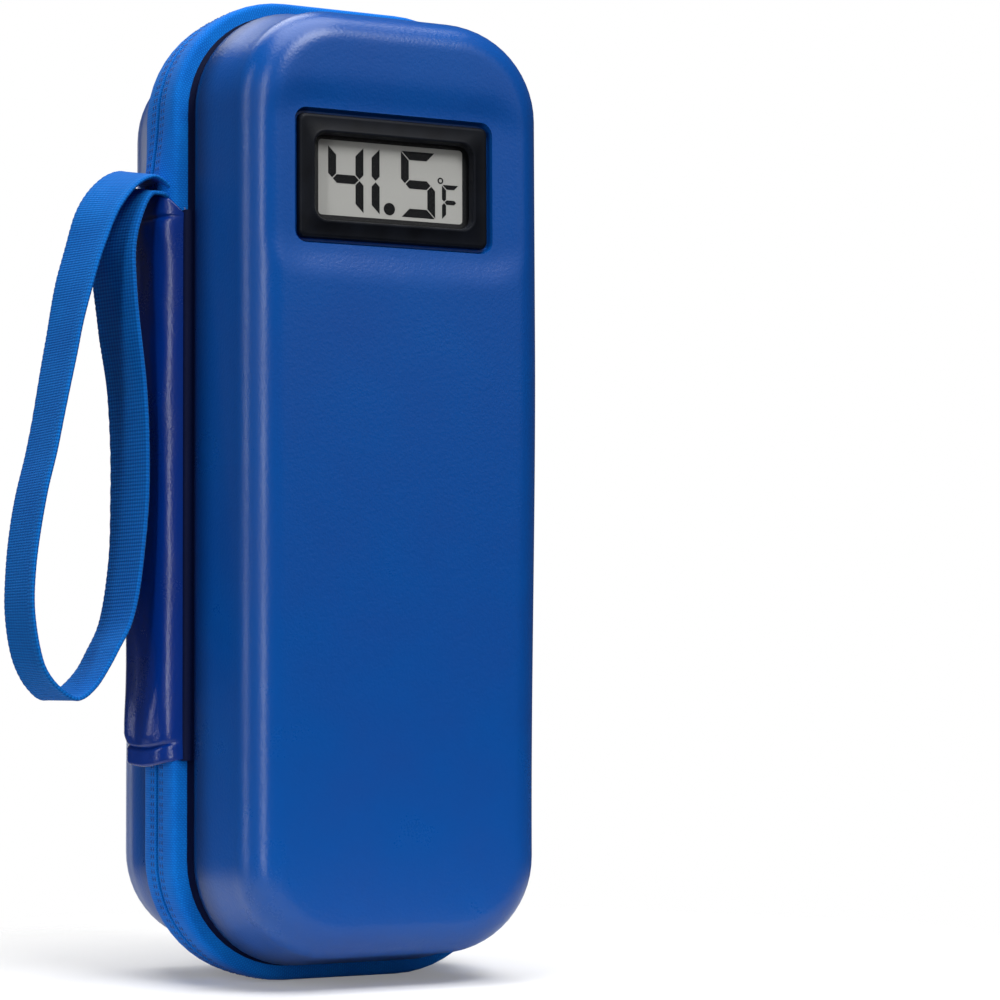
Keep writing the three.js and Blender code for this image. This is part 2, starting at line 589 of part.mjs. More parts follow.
// Thermometer: bezel and body, display stack, board, cells, rear cover, button and sensor
function buildThermometer() {
  const plateAt = (width, height, yFrom, yTo, x = MODULE_X, z = MODULE_Z) =>
    block([x - width / 2, yFrom, z - height / 2], [x + width / 2, yTo, z + height / 2]);
  const flange = roundedPlate([
    [BEZEL_FACE_Y, BEZEL_WIDTH - 2 * BEZEL_CHAMFER, BEZEL_HEIGHT - 2 * BEZEL_CHAMFER, BEZEL_CORNER],
    [BEZEL_FACE_Y + BEZEL_CHAMFER, BEZEL_WIDTH, BEZEL_HEIGHT, BEZEL_CORNER],
    [BEZEL_BACK_Y, BEZEL_WIDTH, BEZEL_HEIGHT, BEZEL_CORNER],
  ]);
  const body = plateAt(BODY_WIDTH, BODY_HEIGHT, BEZEL_BACK_Y - BEZEL_THICK / 2, COVER_Y - STACK_GAP);
  const inside = plateAt(INSIDE_WIDTH, INSIDE_HEIGHT, BEZEL_BACK_Y, 0);
  const window = roundedPlate([
    [BEZEL_FACE_Y - BEZEL_THICK, WINDOW_WIDTH, WINDOW_HEIGHT, WINDOW_CORNER],
    [BEZEL_BACK_Y + BEZEL_THICK, WINDOW_WIDTH, WINDOW_HEIGHT, WINDOW_CORNER],
  ]);
  const screwPlaces = [["left", -1], ["right", 1]].map(([place, side]) =>
    [place, MODULE_X + side * SCREW_OFFSET_X, MODULE_Z - side * SCREW_OFFSET_Z]);
  const bossBack = COVER_Y - STACK_GAP;
  const bosses = screwPlaces.map(([, x, z]) => {
    const wallX = MODULE_X + Math.sign(x - MODULE_X) * (INSIDE_WIDTH / 2 + MODULE_WALL / 2);
    const inner = x - Math.sign(x - MODULE_X) * (BOSS_SIZE / 2);
    return block(
      [Math.min(wallX, inner), BOARD_Y, z - BOSS_SIZE / 2],
      [Math.max(wallX, inner), bossBack, z + BOSS_SIZE / 2],
    );
  });
  const pilotHoles = screwPlaces.map(([, x, z]) =>
    roundBar(SCREW_SHANK + 2 * STACK_GAP, COVER_BACK_Y - SCREW_LENGTH - FIT, COVER_BACK_Y + FIT, x, z));
  const housing = join(cut(join(flange, body), inside, window), ...bosses);
  addPiece("thermometer_bezel", cut(housing, ...pilotHoles), BLACK_PLASTIC);

  const glassWidth = INSIDE_WIDTH - 2 * LCD_MARGIN;
  const glassHeight = INSIDE_HEIGHT - 2 * LCD_MARGIN;
  addPiece("display_lens", plateAt(glassWidth, glassHeight, LENS_Y, LENS_Y + LENS_THICK), CLEAR_PLASTIC);
  addPiece("lcd_panel", plateAt(glassWidth, glassHeight, LCD_Y, LCD_Y + LCD_THICK), LCD_GLASS);
  const connectorZ = MODULE_Z - glassHeight / 2 + CONNECTOR_WIDTH / 2;
  addPiece(
    "display_connector",
    plateAt(BOARD_WIDTH, CONNECTOR_WIDTH, CONNECTOR_Y, CONNECTOR_Y + CONNECTOR_THICK, MODULE_X, connectorZ),
    GREY_RUBBER,
  );
  addPiece("circuit_board", plateAt(BOARD_WIDTH, glassHeight, BOARD_Y, BOARD_BACK_Y), GREEN_BOARD);

  for (const [place, side] of [["left", -1], ["right", 1]]) {
    const x = MODULE_X + (side * CELL_SPACING) / 2;
    addPiece(
      `battery_contact_${place}`,
      plateAt(CONTACT_SIZE, CONTACT_SIZE, CONTACT_Y, CONTACT_Y + CONTACT_THICK, x),
      PLATED_METAL,
    );
    const cell = roundBar(CELL_DIAMETER, CELL_Y, CELL_Y + CELL_THICK, x, MODULE_Z, CELL_SIDES);
    addPiece(`button_cell_${place}`, cell, CELL_STEEL);
  }

  const doorWidth = CELL_SPACING + CELL_DIAMETER + 2 * DOOR_MARGIN;
  const doorHeight = CELL_DIAMETER + 2 * DOOR_MARGIN;
  const buttonX = MODULE_X + BUTTON_X;
  const sensorX = MODULE_X + SENSOR_X;
  const past = [COVER_Y - FIT, COVER_BACK_Y + FIT];
  const cover = cut(
    plateAt(BODY_WIDTH, BODY_HEIGHT, COVER_Y, COVER_BACK_Y),
    plateAt(doorWidth + 2 * FIT, doorHeight + 2 * FIT, ...past),
    roundBar(BUTTON_DIAMETER + 2 * FIT, ...past, buttonX, MODULE_Z),
    roundBar(SENSOR_DIAMETER + 2 * FIT, ...past, sensorX, MODULE_Z),
    ...pilotHoles,
  );
  addPiece("rear_cover", cover, BLACK_PLASTIC);
  addPiece("battery_door", plateAt(doorWidth, doorHeight, COVER_Y, COVER_BACK_Y), BLACK_PLASTIC);

  const flangeY = COVER_Y - STACK_GAP - BUTTON_FLANGE;
  const cap = roundBar(BUTTON_DIAMETER, flangeY, COVER_BACK_Y + BUTTON_PROUD, buttonX, MODULE_Z);
  const capFlange = roundBar(
    BUTTON_DIAMETER + 2 * BUTTON_FLANGE_LIP, flangeY, COVER_Y - STACK_GAP, buttonX, MODULE_Z);
  addPiece("unit_button", join(cap, capFlange), BLACK_PLASTIC);
  const switchTop = flangeY - BUTTON_TRAVEL - STACK_GAP;
  addPiece(
    "button_switch",
    plateAt(SWITCH_SIZE, SWITCH_SIZE, BOARD_BACK_Y + STACK_GAP, switchTop, buttonX - STACK_GAP),
    PLATED_METAL,
  );
  const stem = roundBar(SENSOR_STEM, BOARD_BACK_Y + STACK_GAP, COVER_BACK_Y, sensorX, MODULE_Z);
  const bead = roundBar(SENSOR_DIAMETER, COVER_Y - STACK_GAP, COVER_BACK_Y + SENSOR_PROUD, sensorX, MODULE_Z);
  addPiece("temperature_sensor", join(stem, bead), BLACK_PLASTIC);

  for (const [place, x, z] of screwPlaces) {
    const headY = COVER_BACK_Y + STACK_GAP / 2;
    const shank = roundBar(SCREW_SHANK, COVER_BACK_Y - SCREW_LENGTH, headY + SCREW_HEAD_THICK / 2, x, z);
    const head = roundBar(SCREW_HEAD, headY, headY + SCREW_HEAD_THICK, x, z);
    addPiece(`cover_screw_${place}`, join(shank, head), PLATED_METAL);
  }
}

// Gel pack: a capsule with a slight waist, crowned on both faces
function gelPack(yMiddle) {
  const corner = PACK_WIDTH / 2;
  const middle = PACK_BOTTOM + PACK_LENGTH / 2;
  const rings = [];
  for (let step = 0; step <= 2 * PACK_EDGE_STEPS; step += 1) {
    const angle = (Math.PI / 2) * (step / PACK_EDGE_STEPS - 1);
    const draw = PACK_EDGE * (1 - Math.cos(angle));
    const y = yMiddle + (PACK_THICK / 2) * Math.sin(angle);
    const size = [PACK_WIDTH - 2 * draw, PACK_LENGTH - 2 * draw];
    rings.push(roundedRing(...size, corner - draw, 0, y, middle, PACK_CORNER_STEPS));
  }
  const straight = PACK_LENGTH / 2 - corner;
  const waisted = rings.map((ring) => {
    const withMiddle = [];
    ring.forEach((p, i) => {
      withMiddle.push(p);
      const next = ring[(i + 1) % ring.length];
      if (Math.abs(next.z - p.z) > straight) {
        const pinch = p.clone().lerp(next, 0.5);
        pinch.x -= Math.sign(pinch.x) * PACK_WAIST;
        pinch.z = middle;
        withMiddle.push(pinch);
      }
    });
    return withMiddle;
  });
  return skin(waisted, waisted[0].map((p) => new THREE.Vector2(p.x, p.z)));
}

// Inset of the cavity's leaning side wall at a depth from the slit plane
function cavityInsetAt(y, depth) {
  const leanEnd = depth - CAVITY_OFFSET - (EDGE_DEPTH - EDGE_SHRINK * CAVITY_OFFSET);
  const share = (Math.abs(y) - BAND_HALF) / (leanEnd - BAND_HALF);
  return CAVITY_INSET + WALL_LEAN * THREE.MathUtils.clamp(share, 0, 1);
}

// Pocket panel: sewn to the lining at its sides and bottom, and cut straight at its top edge
function pocketPanel(yNear, yFar, depth) {
  const inset = cavityInsetAt(yFar, depth) + FIT;
  const top = CAVITY_INSET + POCKET_HEIGHT;
  const outline = caseRing(inset, 0).map((p) => new THREE.Vector2(p.x, p.z));
  const panel = skin([caseRing(inset, yNear), caseRing(inset, yFar)], outline);
  const above = block(
    [-CASE_WIDTH / 2, Math.min(yNear, yFar) - FIT, top],
    [CASE_WIDTH / 2, Math.max(yNear, yFar) + FIT, CASE_HEIGHT],
  );
  return cut(panel, above);
}

// Elastic strip sewn flat on the pocket panel with two raised loops for pens
function penLoops(yPanel, z) {
  const profile = [];
  const reach = LOOP_SPACING / 2 + LOOP_RADIUS + LOOP_STRAP + FIT;
  const arch = (centre, radius) => Array.from({ length: LOOP_STEPS + 1 }, (_, step) => {
    const angle = Math.PI * (1 - step / LOOP_STEPS);
    return [centre + radius * Math.cos(angle), radius * Math.sin(angle)];
  });
  profile.push([-reach, 0], [-reach, LOOP_STRAP]);
  for (const side of [-1, 1]) {
    profile.push(...arch((side * LOOP_SPACING) / 2, LOOP_RADIUS + LOOP_STRAP)
      .filter(([, height]) => height > LOOP_STRAP));
  }
  profile.push([reach, LOOP_STRAP], [reach, 0]);
  for (const side of [1, -1]) {
    profile.push(...arch((side * LOOP_SPACING) / 2, LOOP_RADIUS).reverse());
  }
  const rings = [z - LOOP_WIDTH / 2, z + LOOP_WIDTH / 2].map((level) =>
    profile.map(([x, height]) => new THREE.Vector3(x, yPanel - height, level)));
  return skin(rings, profile.map(([x, height]) => new THREE.Vector2(x, height)));
}

function buildContents() {
  const frontPackY = FRONT_FLOOR + FIT + PACK_THICK / 2;
  const backPackY = BACK_FLOOR - FIT - PACK_THICK / 2;
  addPiece("gel_pack_front", gelPack(frontPackY), GEL_PLASTIC);
  addPiece("gel_pack_back", gelPack(backPackY), GEL_PLASTIC);
  const netY = frontPackY + PACK_THICK / 2 + FIT;
  const panelY = backPackY - PACK_THICK / 2 - FIT;
  addPiece("net_pocket", pocketPanel(netY + POCKET_THICK, netY, FRONT_DEPTH), NET_CLOTH);
  addPiece("pocket_panel", pocketPanel(panelY - POCKET_THICK, panelY, BACK_DEPTH), LINING_CLOTH);
  const loopY = panelY - POCKET_THICK - FIT;
  addPiece("pen_loop_lower", penLoops(loopY, LOOP_LOW_Z), ELASTIC);
  addPiece("pen_loop_upper", penLoops(loopY, LOOP_HIGH_Z), ELASTIC);
}

buildShells();
buildLining();
buildZipper();
buildSpine();
buildStrap();
buildSlider("upper", 1);
buildSlider("lower", -1);
buildThermometer();
buildContents();

export default caseGroup;
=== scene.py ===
"""Hard-shell insulin cooling case with a built-in thermometer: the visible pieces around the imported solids.
Sizes are in millimetres until a mesh is made. The case stands on its zipper band, the display looks along -Y,
the spine and the strap are on the -X side and the zipper slit lies in the plane Y = 0."""
import math

import bmesh
import bpy
from mathutils import Matrix, Vector, noise


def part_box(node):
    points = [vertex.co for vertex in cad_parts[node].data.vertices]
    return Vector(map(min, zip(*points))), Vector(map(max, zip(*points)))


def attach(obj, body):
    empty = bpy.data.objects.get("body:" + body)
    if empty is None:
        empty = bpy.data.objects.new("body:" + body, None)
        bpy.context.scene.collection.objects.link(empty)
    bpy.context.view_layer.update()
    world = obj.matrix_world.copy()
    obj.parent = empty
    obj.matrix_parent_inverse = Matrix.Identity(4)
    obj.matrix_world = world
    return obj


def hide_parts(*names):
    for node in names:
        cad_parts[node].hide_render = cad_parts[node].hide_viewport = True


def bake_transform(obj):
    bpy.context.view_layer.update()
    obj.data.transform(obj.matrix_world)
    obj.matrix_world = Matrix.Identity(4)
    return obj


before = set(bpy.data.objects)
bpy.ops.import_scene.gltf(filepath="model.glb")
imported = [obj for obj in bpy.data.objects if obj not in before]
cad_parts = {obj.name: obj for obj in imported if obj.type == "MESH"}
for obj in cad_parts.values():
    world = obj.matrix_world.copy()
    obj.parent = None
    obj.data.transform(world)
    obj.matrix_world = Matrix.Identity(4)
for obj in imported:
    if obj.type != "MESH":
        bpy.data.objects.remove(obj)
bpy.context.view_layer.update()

MM = 0.001
UP, DEEP = Vector((0, 0, 1)), Vector((0, 1, 0))
SHARP_EDGE = 42

# Case outline at the crown of the zipper band, and how finely a ring round it is drawn
HALF_WIDTH = 43.5
HEIGHT = 232.0
CORNER = 29.0
CORNER_STEPS = 14
SHORT_STEPS = 9
LONG_STEPS = 40
FINE_LONG_STEPS = 130

# Half shells and their layers
BAND_HALF = 11.0
SEAM_INSET = 3.5
FRONT_DEPTH = 42.0
BACK_DEPTH = 39.0
SHELL_WALL = 2.2
WALL_LEAN = 3.0
EDGE_DEPTH = 10.0
EDGE_REACH = 8.5
EDGE_SHRINK = 0.6
FACE_MIDDLE = HALF_WIDTH

# Name, body, depth and side of each half
HALVES = (("front", "lid", FRONT_DEPTH, -1), ("back", "base", BACK_DEPTH, 1))

# Distances from the slit at which the painted shade beside the seam is darkest, and at which it has faded so
# that the leather has its full colour
SEAM_SHADE_DARKEST, SEAM_SHADE_CLEAR = 10.5, 24.0

# Spine between the two seams, and the strap sewn under its top hem
SPINE_TOP = 184.0
SPINE_BOTTOM = 50.4
SPINE_HALF = 10.2
SPINE_EDGE_X = -41.2
SPINE_RISE = 6.25
SPINE_RISE_SLOPE = 0.228
SPINE_SQUARENESS = 6.5
SPINE_HOLLOW = 1.5
SPINE_LEATHER_THICK = 1.2
STRAP_WIDTH = 15.0
STRAP_THICK = 1.0
STRAP_TURN = math.radians(14)
STRAP_ANCHOR = Vector((-45.3, 0, 183))

# Thermometer module, placed where the solid bezel is
BEZEL_LOW, BEZEL_HIGH = (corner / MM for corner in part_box("thermometer_bezel"))
MODULE_X = (BEZEL_LOW.x + BEZEL_HIGH.x) / 2
MODULE_Z = (BEZEL_LOW.z + BEZEL_HIGH.z) / 2
BEZEL_FACE = BEZEL_LOW.y
BEZEL_WIDTH, BEZEL_HEIGHT = 48.0, 28.6
BODY_WIDTH, BODY_HEIGHT = 46.0, 26.6


# Node and colour helpers

def linear(code):
    """An sRGB hex colour as linear red, green, blue and alpha."""
    parts = [int(code[i:i + 2], 16) / 255 for i in (1, 3, 5)]
    return [c / 12.92 if c <= 0.04045 else ((c + 0.055) / 1.055) ** 2.4 for c in parts] + [1.0]


def add(tree, kind, sockets=None, **settings):
    """Adds a shader node with its settings, and fills its sockets with values, with outputs or with other
    nodes, each of which stands for its first output."""
    node = tree.nodes.new("ShaderNode" + kind)
    for name, value in settings.items():
        setattr(node, name, value)
    for name, value in (sockets or {}).items():
        source = value.outputs[0] if isinstance(value, bpy.types.Node) else value
        if isinstance(source, bpy.types.NodeSocket):
            tree.links.new(source, node.inputs[name])
        else:
            node.inputs[name].default_value = source
    return node


def per_metre(size_mm):
    """Scale of a noise or cell pattern whose features are this many millimetres wide."""
    return 1 / (size_mm * MM)


def bands_per_metre(size_mm):
    """Scale of a wave pattern whose bands repeat every so many millimetres."""
    return math.tau / 20 / (size_mm * MM)


def new_finish(name, surface, deep=None, pale=None, fold=None, cloth=False, **details):
    """A material that ends in one principled shader. Its surface says how far each spot is on the way from the
    deep colour to the pale one, and fills the other sockets. It follows the threads of a cloth, or else the
    place on the piece. A fold colour paints shade over it: darkest beside the seam, where shade falls in the
    crease, and fading away from the slit."""
    finish = bpy.data.materials.new(name)
    finish.use_nodes = True
    tree = finish.node_tree
    tree.nodes.clear()
    if cloth:
        place = add(tree, "UVMap", uv_map="cloth").outputs["UV"]
    else:
        place = add(tree, "TexCoord").outputs["Object"]
    share, sockets = surface(tree, place, **details)
    if deep:
        colour = add(tree, "Mix", {0: share, 6: linear(deep), 7: linear(pale)}, data_type="RGBA").outputs[2]
        sockets["Base Color"] = colour
    # Painted shade: the colour is mixed towards the fold colour near the slit, where shade falls in the crease
    # along the seam
    if fold:
        apart = add(tree, "SeparateXYZ", {"Vector": place})
        from_slit = add(tree, "Math", {0: apart.outputs["Y"]}, operation="ABSOLUTE")
        free = add(tree, "MapRange", {
            "Value": from_slit, "From Min": SEAM_SHADE_DARKEST * MM, "From Max": SEAM_SHADE_CLEAR * MM},
            interpolation_type="SMOOTHSTEP")
        folded = add(tree, "Mix", {0: free, 6: linear(fold), 7: colour}, data_type="RGBA").outputs[2]
        sockets["Base Color"] = folded
    shader = add(tree, "BsdfPrincipled", sockets)
    add(tree, "OutputMaterial", {"Surface": shader})
    return finish


# Surfaces, each as the share of the pale colour and the other sockets of the shader

def leather_surface(tree, place, roughness, grain_mm=0.75, reflection=0.5):
    """Polyurethane leather cloth, embossed while warm and pressed over the mould: an even blue with a fine
    pebble grain, a satin gloss that varies a little, and slow shade changes where the backing shows through.
    The pebbles are near 0.4 mm wide and are drawn at 0.6 or 0.75 mm, so that they show."""
    mottle = add(tree, "TexNoise", {"Vector": place, "Scale": per_metre(22), "Detail": 3.0})
    pebble = add(tree, "TexVoronoi", {"Vector": place, "Scale": per_metre(grain_mm)}, feature="SMOOTH_F1")
    pores = add(tree, "TexNoise", {"Vector": place, "Scale": per_metre(0.45), "Detail": 2.0})
    speck = add(tree, "MapRange", {"Value": pores, "To Min": -0.1, "To Max": 0.1})
    shade = add(tree, "Math", {0: mottle, 1: speck}, operation="ADD")
    gloss = add(tree, "MapRange", {
        "Value": shade, "From Min": 0.25, "From Max": 0.75,
        "To Min": roughness + 0.05, "To Max": roughness - 0.05})
    relief = add(tree, "Math", {0: pebble, 1: pores}, operation="ADD")
    bump = add(tree, "Bump", {"Height": relief, "Strength": 0.5, "Distance": 0.00006})
    return shade, {"Roughness": gloss, "Normal": bump, "IOR": 1.46, "Specular IOR Level": reflection}


def tape_surface(tree, place):
    """Polyester zipper tape, woven in a close twill and dyed: matt, a little brighter than the leather, with
    fine slanting ribs. The threads are near 0.35 mm and are drawn at 0.55 mm and 0.8 mm, so that they show."""
    twill = add(tree, "TexWave", {
        "Vector": place, "Scale": 2 * bands_per_metre(0.8), "Distortion": 0.6, "Detail": 1.0,
        "Detail Scale": 3.0}, bands_direction="DIAGONAL").outputs["Fac"]
    cross = add(tree, "TexWave", {
        "Vector": place, "Scale": bands_per_metre(0.55)}, bands_direction="X").outputs["Fac"]
    weave = add(tree, "Math", {0: twill, 1: cross}, operation="MULTIPLY")
    fade = add(tree, "TexNoise", {"Vector": place, "Scale": per_metre(9), "Detail": 3.0})
    shade = add(tree, "Math", {0: weave, 1: fade}, operation="ADD")
    share = add(tree, "MapRange", {"Value": shade, "From Min": 0.3, "From Max": 1.3})
    bump = add(tree, "Bump", {"Height": weave, "Strength": 0.6, "Distance": 0.00012})
    return share, {"Roughness": 0.82, "Normal": bump, "Specular IOR Level": 0.12, "Sheen Weight": 0.05,
                   "Sheen Roughness": 0.4}


def webbing_surface(tree, place):
    """Polyester strap webbing, woven on a narrow loom: close cross ribs with faint lengthwise lines on its
    outer face and a small even grid on its inner face, matt with a soft sheen. The threads are near 0.4 mm and
    are drawn at 0.65 mm outside and 0.85 mm inside, so that they show."""
    faces = []
    for across_mm, along_mm, lines_share in ((0.65, 1.1, 0.35), (0.85, 0.8, 0.8)):
        ribs = add(tree, "TexWave", {
            "Vector": place, "Scale": bands_per_metre(across_mm), "Distortion": 0.4, "Detail Scale": 2.0},
            bands_direction="X").outputs["Fac"]
        lines = add(tree, "TexWave", {
            "Vector": place, "Scale": bands_per_metre(along_mm), "Distortion": 0.3, "Detail Scale": 2.0},
            bands_direction="Y").outputs["Fac"]
        faces.append(add(tree, "Math", {0: lines, 1: lines_share, 2: ribs}, operation="MULTIPLY_ADD"))
    apart = add(tree, "SeparateXYZ", {"Vector": place})
    outside = add(tree, "Math", {
        0: apart.outputs["Y"], 1: (STRAP_WIDTH + STRAP_THICK / 2) * MM}, operation="GREATER_THAN")
    weave = add(tree, "Mix", {0: outside, 2: faces[1], 3: faces[0]}, data_type="FLOAT")
    fade = add(tree, "TexNoise", {"Vector": place, "Scale": per_metre(14), "Detail": 4.0})
    shade = add(tree, "Math", {0: weave, 1: fade}, operation="ADD")
    share = add(tree, "MapRange", {"Value": shade, "From Min": 0.2, "From Max": 2.2})
    bump = add(tree, "Bump", {"Height": weave, "Strength": 0.55, "Distance": 0.0001})
    return share, {"Roughness": 0.8, "Normal": bump, "Specular IOR Level": 0.12, "Sheen Weight": 0.05,
                   "Sheen Roughness": 0.35}


def elastic_surface(tree, place):
    """Woven elastic, edge binding, net yarn and sewing thread: close lengthwise cords with fine cross threads,
    matt. The cords are near 0.8 mm and are drawn at 0.9 mm, and the threads are near 0.4 mm and are drawn at
    0.6 mm, so that they show."""
    cords = add(tree, "TexWave", {
        "Vector": place, "Scale": bands_per_metre(0.9)}, bands_direction="Y").outputs["Fac"]
    threads = add(tree, "TexWave", {
        "Vector": place, "Scale": bands_per_metre(0.6)}, bands_direction="X").outputs["Fac"]
    weave = add(tree, "Math", {0: cords, 1: threads}, operation="ADD")
    share = add(tree, "MapRange", {"Value": weave, "From Max": 2.0})
    bump = add(tree, "Bump", {"Height": weave, "Strength": 0.6, "Distance": 0.00012})
    return share, {"Roughness": 0.78, "Normal": bump, "Specular IOR Level": 0.3, "Sheen Weight": 0.2}


def lining_surface(tree, place):
    """Silver-coated nylon lining: a fine plain weave with a thin metallic coat, soft crumples and a cool satin
    gleam. The threads are near 0.2 mm and are drawn at 0.6 mm, so that they show."""
    threads = [add(tree, "TexWave", {
        "Vector": place, "Scale": bands_per_metre(0.6)}, bands_direction=way).outputs["Fac"]
        for way in ("X", "Z")]
    weave = add(tree, "Math", {0: threads[0], 1: threads[1]}, operation="MULTIPLY")
    crumple = add(tree, "TexNoise", {
        "Vector": place, "Scale": per_metre(16), "Detail": 5.0, "Distortion": 0.8})
    shade = add(tree, "Math", {0: crumple, 1: weave}, operation="ADD")
    share = add(tree, "MapRange", {"Value": shade, "From Min": 0.3, "From Max": 1.4})
    soft = add(tree, "Bump", {"Height": crumple, "Strength": 0.5, "Distance": 0.0012})
    fine = add(tree, "Bump", {"Height": weave, "Strength": 0.4, "Distance": 0.00008, "Normal": soft})
    gloss = add(tree, "MapRange", {"Value": crumple, "To Min": 0.36, "To Max": 0.5})
    return share, {"Metallic": 0.35, "Roughness": gloss, "Normal": fine}


def foam_surface(tree, place):
    """Closed-cell foam or layered rubber, cut from a sheet: dull dark grey with small cut cells near 0.7 mm
    wide."""
    cells = add(tree, "TexVoronoi", {"Vector": place, "Scale": per_metre(0.7)})
    bump = add(tree, "Bump", {"Height": cells, "Strength": 0.8, "Distance": 0.0002})
    return cells, {"Roughness": 0.93, "Normal": bump, "Specular IOR Level": 0.2}


def moulded_surface(tree, place, roughness, reflection=0.5):
    """Injection-moulded plastic from a spark-eroded tool: an even colour under a fine grit, a soft gloss, and
    edges rubbed a little paler by handling. The grit is near 0.1 mm and is drawn at 0.35 mm, so that it
    shows."""
    edges = add(tree, "NewGeometry").outputs["Pointiness"]
    grit = add(tree, "TexNoise", {"Vector": place, "Scale": per_metre(0.35), "Detail": 3.0})
    cloud = add(tree, "TexNoise", {"Vector": place, "Scale": per_metre(7), "Detail": 2.0})
    rubbed = add(tree, "MapRange", {"Value": edges, "From Min": 0.5, "From Max": 0.62, "To Max": 0.6})
    tone = add(tree, "MapRange", {"Value": cloud, "From Min": 0.3, "From Max": 0.7, "To Max": 0.45})
    shade = add(tree, "Math", {0: rubbed, 1: tone}, operation="ADD")
    gloss = add(tree, "MapRange", {"Value": grit, "To Min": roughness - 0.08, "To Max": roughness + 0.08})
    bump = add(tree, "Bump", {"Height": grit, "Strength": 0.25, "Distance": 0.00006})
    return shade, {"Roughness": gloss, "Normal": bump, "IOR": 1.54, "Specular IOR Level": reflection}


def metal_surface(tree, place, roughness, brushed_mm):
    """Nickel-plated die casting or drawn steel: a grey metal with fine polishing lines, brighter on rubbed
    edges. The lines are near 0.1 mm and are drawn at 0.3 or 0.4 mm, so that they show."""
    drawn = add(tree, "Mapping", {"Vector": place, "Scale": (1.0, 1.0, 0.06)})
    lines = add(tree, "TexNoise", {"Vector": drawn, "Scale": per_metre(brushed_mm), "Detail": 3.0})
    edges = add(tree, "NewGeometry").outputs["Pointiness"]
    rubbed = add(tree, "MapRange", {"Value": edges, "From Min": 0.48, "From Max": 0.6})
    gloss = add(tree, "MapRange", {"Value": lines, "To Min": roughness - 0.08, "To Max": roughness + 0.1})
    bump = add(tree, "Bump", {"Height": lines, "Strength": 0.15, "Distance": 0.00005})
    return rubbed, {"Metallic": 1.0, "Roughness": gloss, "Normal": bump}


def gel_surface(tree, place):
    """Blown polyethylene shell filled with blue gel: a smooth satin blue, a little deeper where it is thicker,
    with a faint orange-peel near 3 mm."""
    depth = add(tree, "TexNoise", {"Vector": place, "Scale": per_metre(35), "Detail": 2.0})
    peel = add(tree, "TexNoise", {"Vector": place, "Scale": per_metre(3), "Detail": 1.0})
    bump = add(tree, "Bump", {"Height": peel, "Strength": 0.2, "Distance": 0.0002})
    return depth, {"Roughness": 0.32, "Normal": bump, "IOR": 1.5, "Subsurface Weight": 0.12,
                   "Subsurface Radius": (0.001, 0.002, 0.004), "Coat Weight": 0.15}


def display_surface(tree, place):
    """Reflective liquid crystal cell behind a matt polariser: an even neutral grey with the faint grain of the
    reflector foil near 0.3 mm."""
    foil = add(tree, "TexNoise", {"Vector": place, "Scale": per_metre(0.3), "Detail": 2.0})
    return foil, {"Roughness": 0.5, "Specular IOR Level": 0.2}


def lens_surface(tree, place):
    """Clear acrylic display lens, cut from polished sheet: almost unseen, with a faint haze of fine wiping
    marks."""
    wipes = add(tree, "Mapping", {"Vector": place, "Scale": (1.0, 1.0, 0.1)})
    marks = add(tree, "TexNoise", {"Vector": wipes, "Scale": per_metre(0.5), "Detail": 4.0})
    gloss = add(tree, "MapRange", {"Value": marks, "To Min": 0.03, "To Max": 0.12})
    return None, {"Base Color": linear("#1a1d20"), "Roughness": gloss, "IOR": 1.49, "Alpha": 0.05}


def board_surface(tree, place):
    """Glass-fibre circuit board under green solder mask: glossy green with faint copper tracks 1.2 mm apart."""
    tracks = add(tree, "TexBrick", {
        "Vector": place, "Scale": per_metre(2.4), "Color1": linear("#1f6b3a"), "Color2": linear("#1b5f33"),
        "Mortar": linear("#2f8a4d"), "Mortar Size": 0.03})
    return None, {"Base Color": tracks, "Roughness": 0.35}


def floor_surface(tree, place):
    """Matt white board that fades into the white backdrop, so that no horizon shows."""
    tone = add(tree, "TexNoise", {"Vector": place, "Scale": per_metre(400), "Detail": 2.0})
    away = add(tree, "VectorMath", {0: place}, operation="LENGTH").outputs["Value"]
    cover = add(tree, "MapRange", {
        "Value": away, "From Min": 0.07, "From Max": 0.22, "To Min": 0.8, "To Max": 0.0},
        interpolation_type="SMOOTHSTEP")
    return tone, {"Roughness": 0.9, "Specular IOR Level": 0.0, "Alpha": cover}


# The shell leather's fold colour is painted shade in the crease along the seam, not the leather's own colour
SHELL_LEATHER = new_finish(
    "polyurethane_leather_blue", leather_surface, "#004292", "#004fa0", fold="#000d34", roughness=0.31)
# The spine leather is darker than the shell's; part of that darkness is painted shade from the strap that hangs
# over the spine
SPINE_LEATHER = new_finish(
    "polyurethane_leather_spine", leather_surface, "#002672", "#003088", roughness=0.26, grain_mm=0.6)
# Near-black leather for the welts in the seams and the strips in the folds: a real welt, coloured so dark that
# it also paints the shade at the bottom of the seam's groove
SEAM_SHADE_LEATHER = new_finish(
    "polyurethane_leather_welt_painted_shade", leather_surface, "#00072a", "#000c36", roughness=0.6, grain_mm=0.6,
    reflection=0.15)
TAPE_CLOTH = new_finish("woven_polyester_tape_blue", tape_surface, "#005ab9", "#067ada", cloth=True)
WEBBING = new_finish("woven_polyester_webbing_blue", webbing_surface, "#004595", "#0672c9", cloth=True)
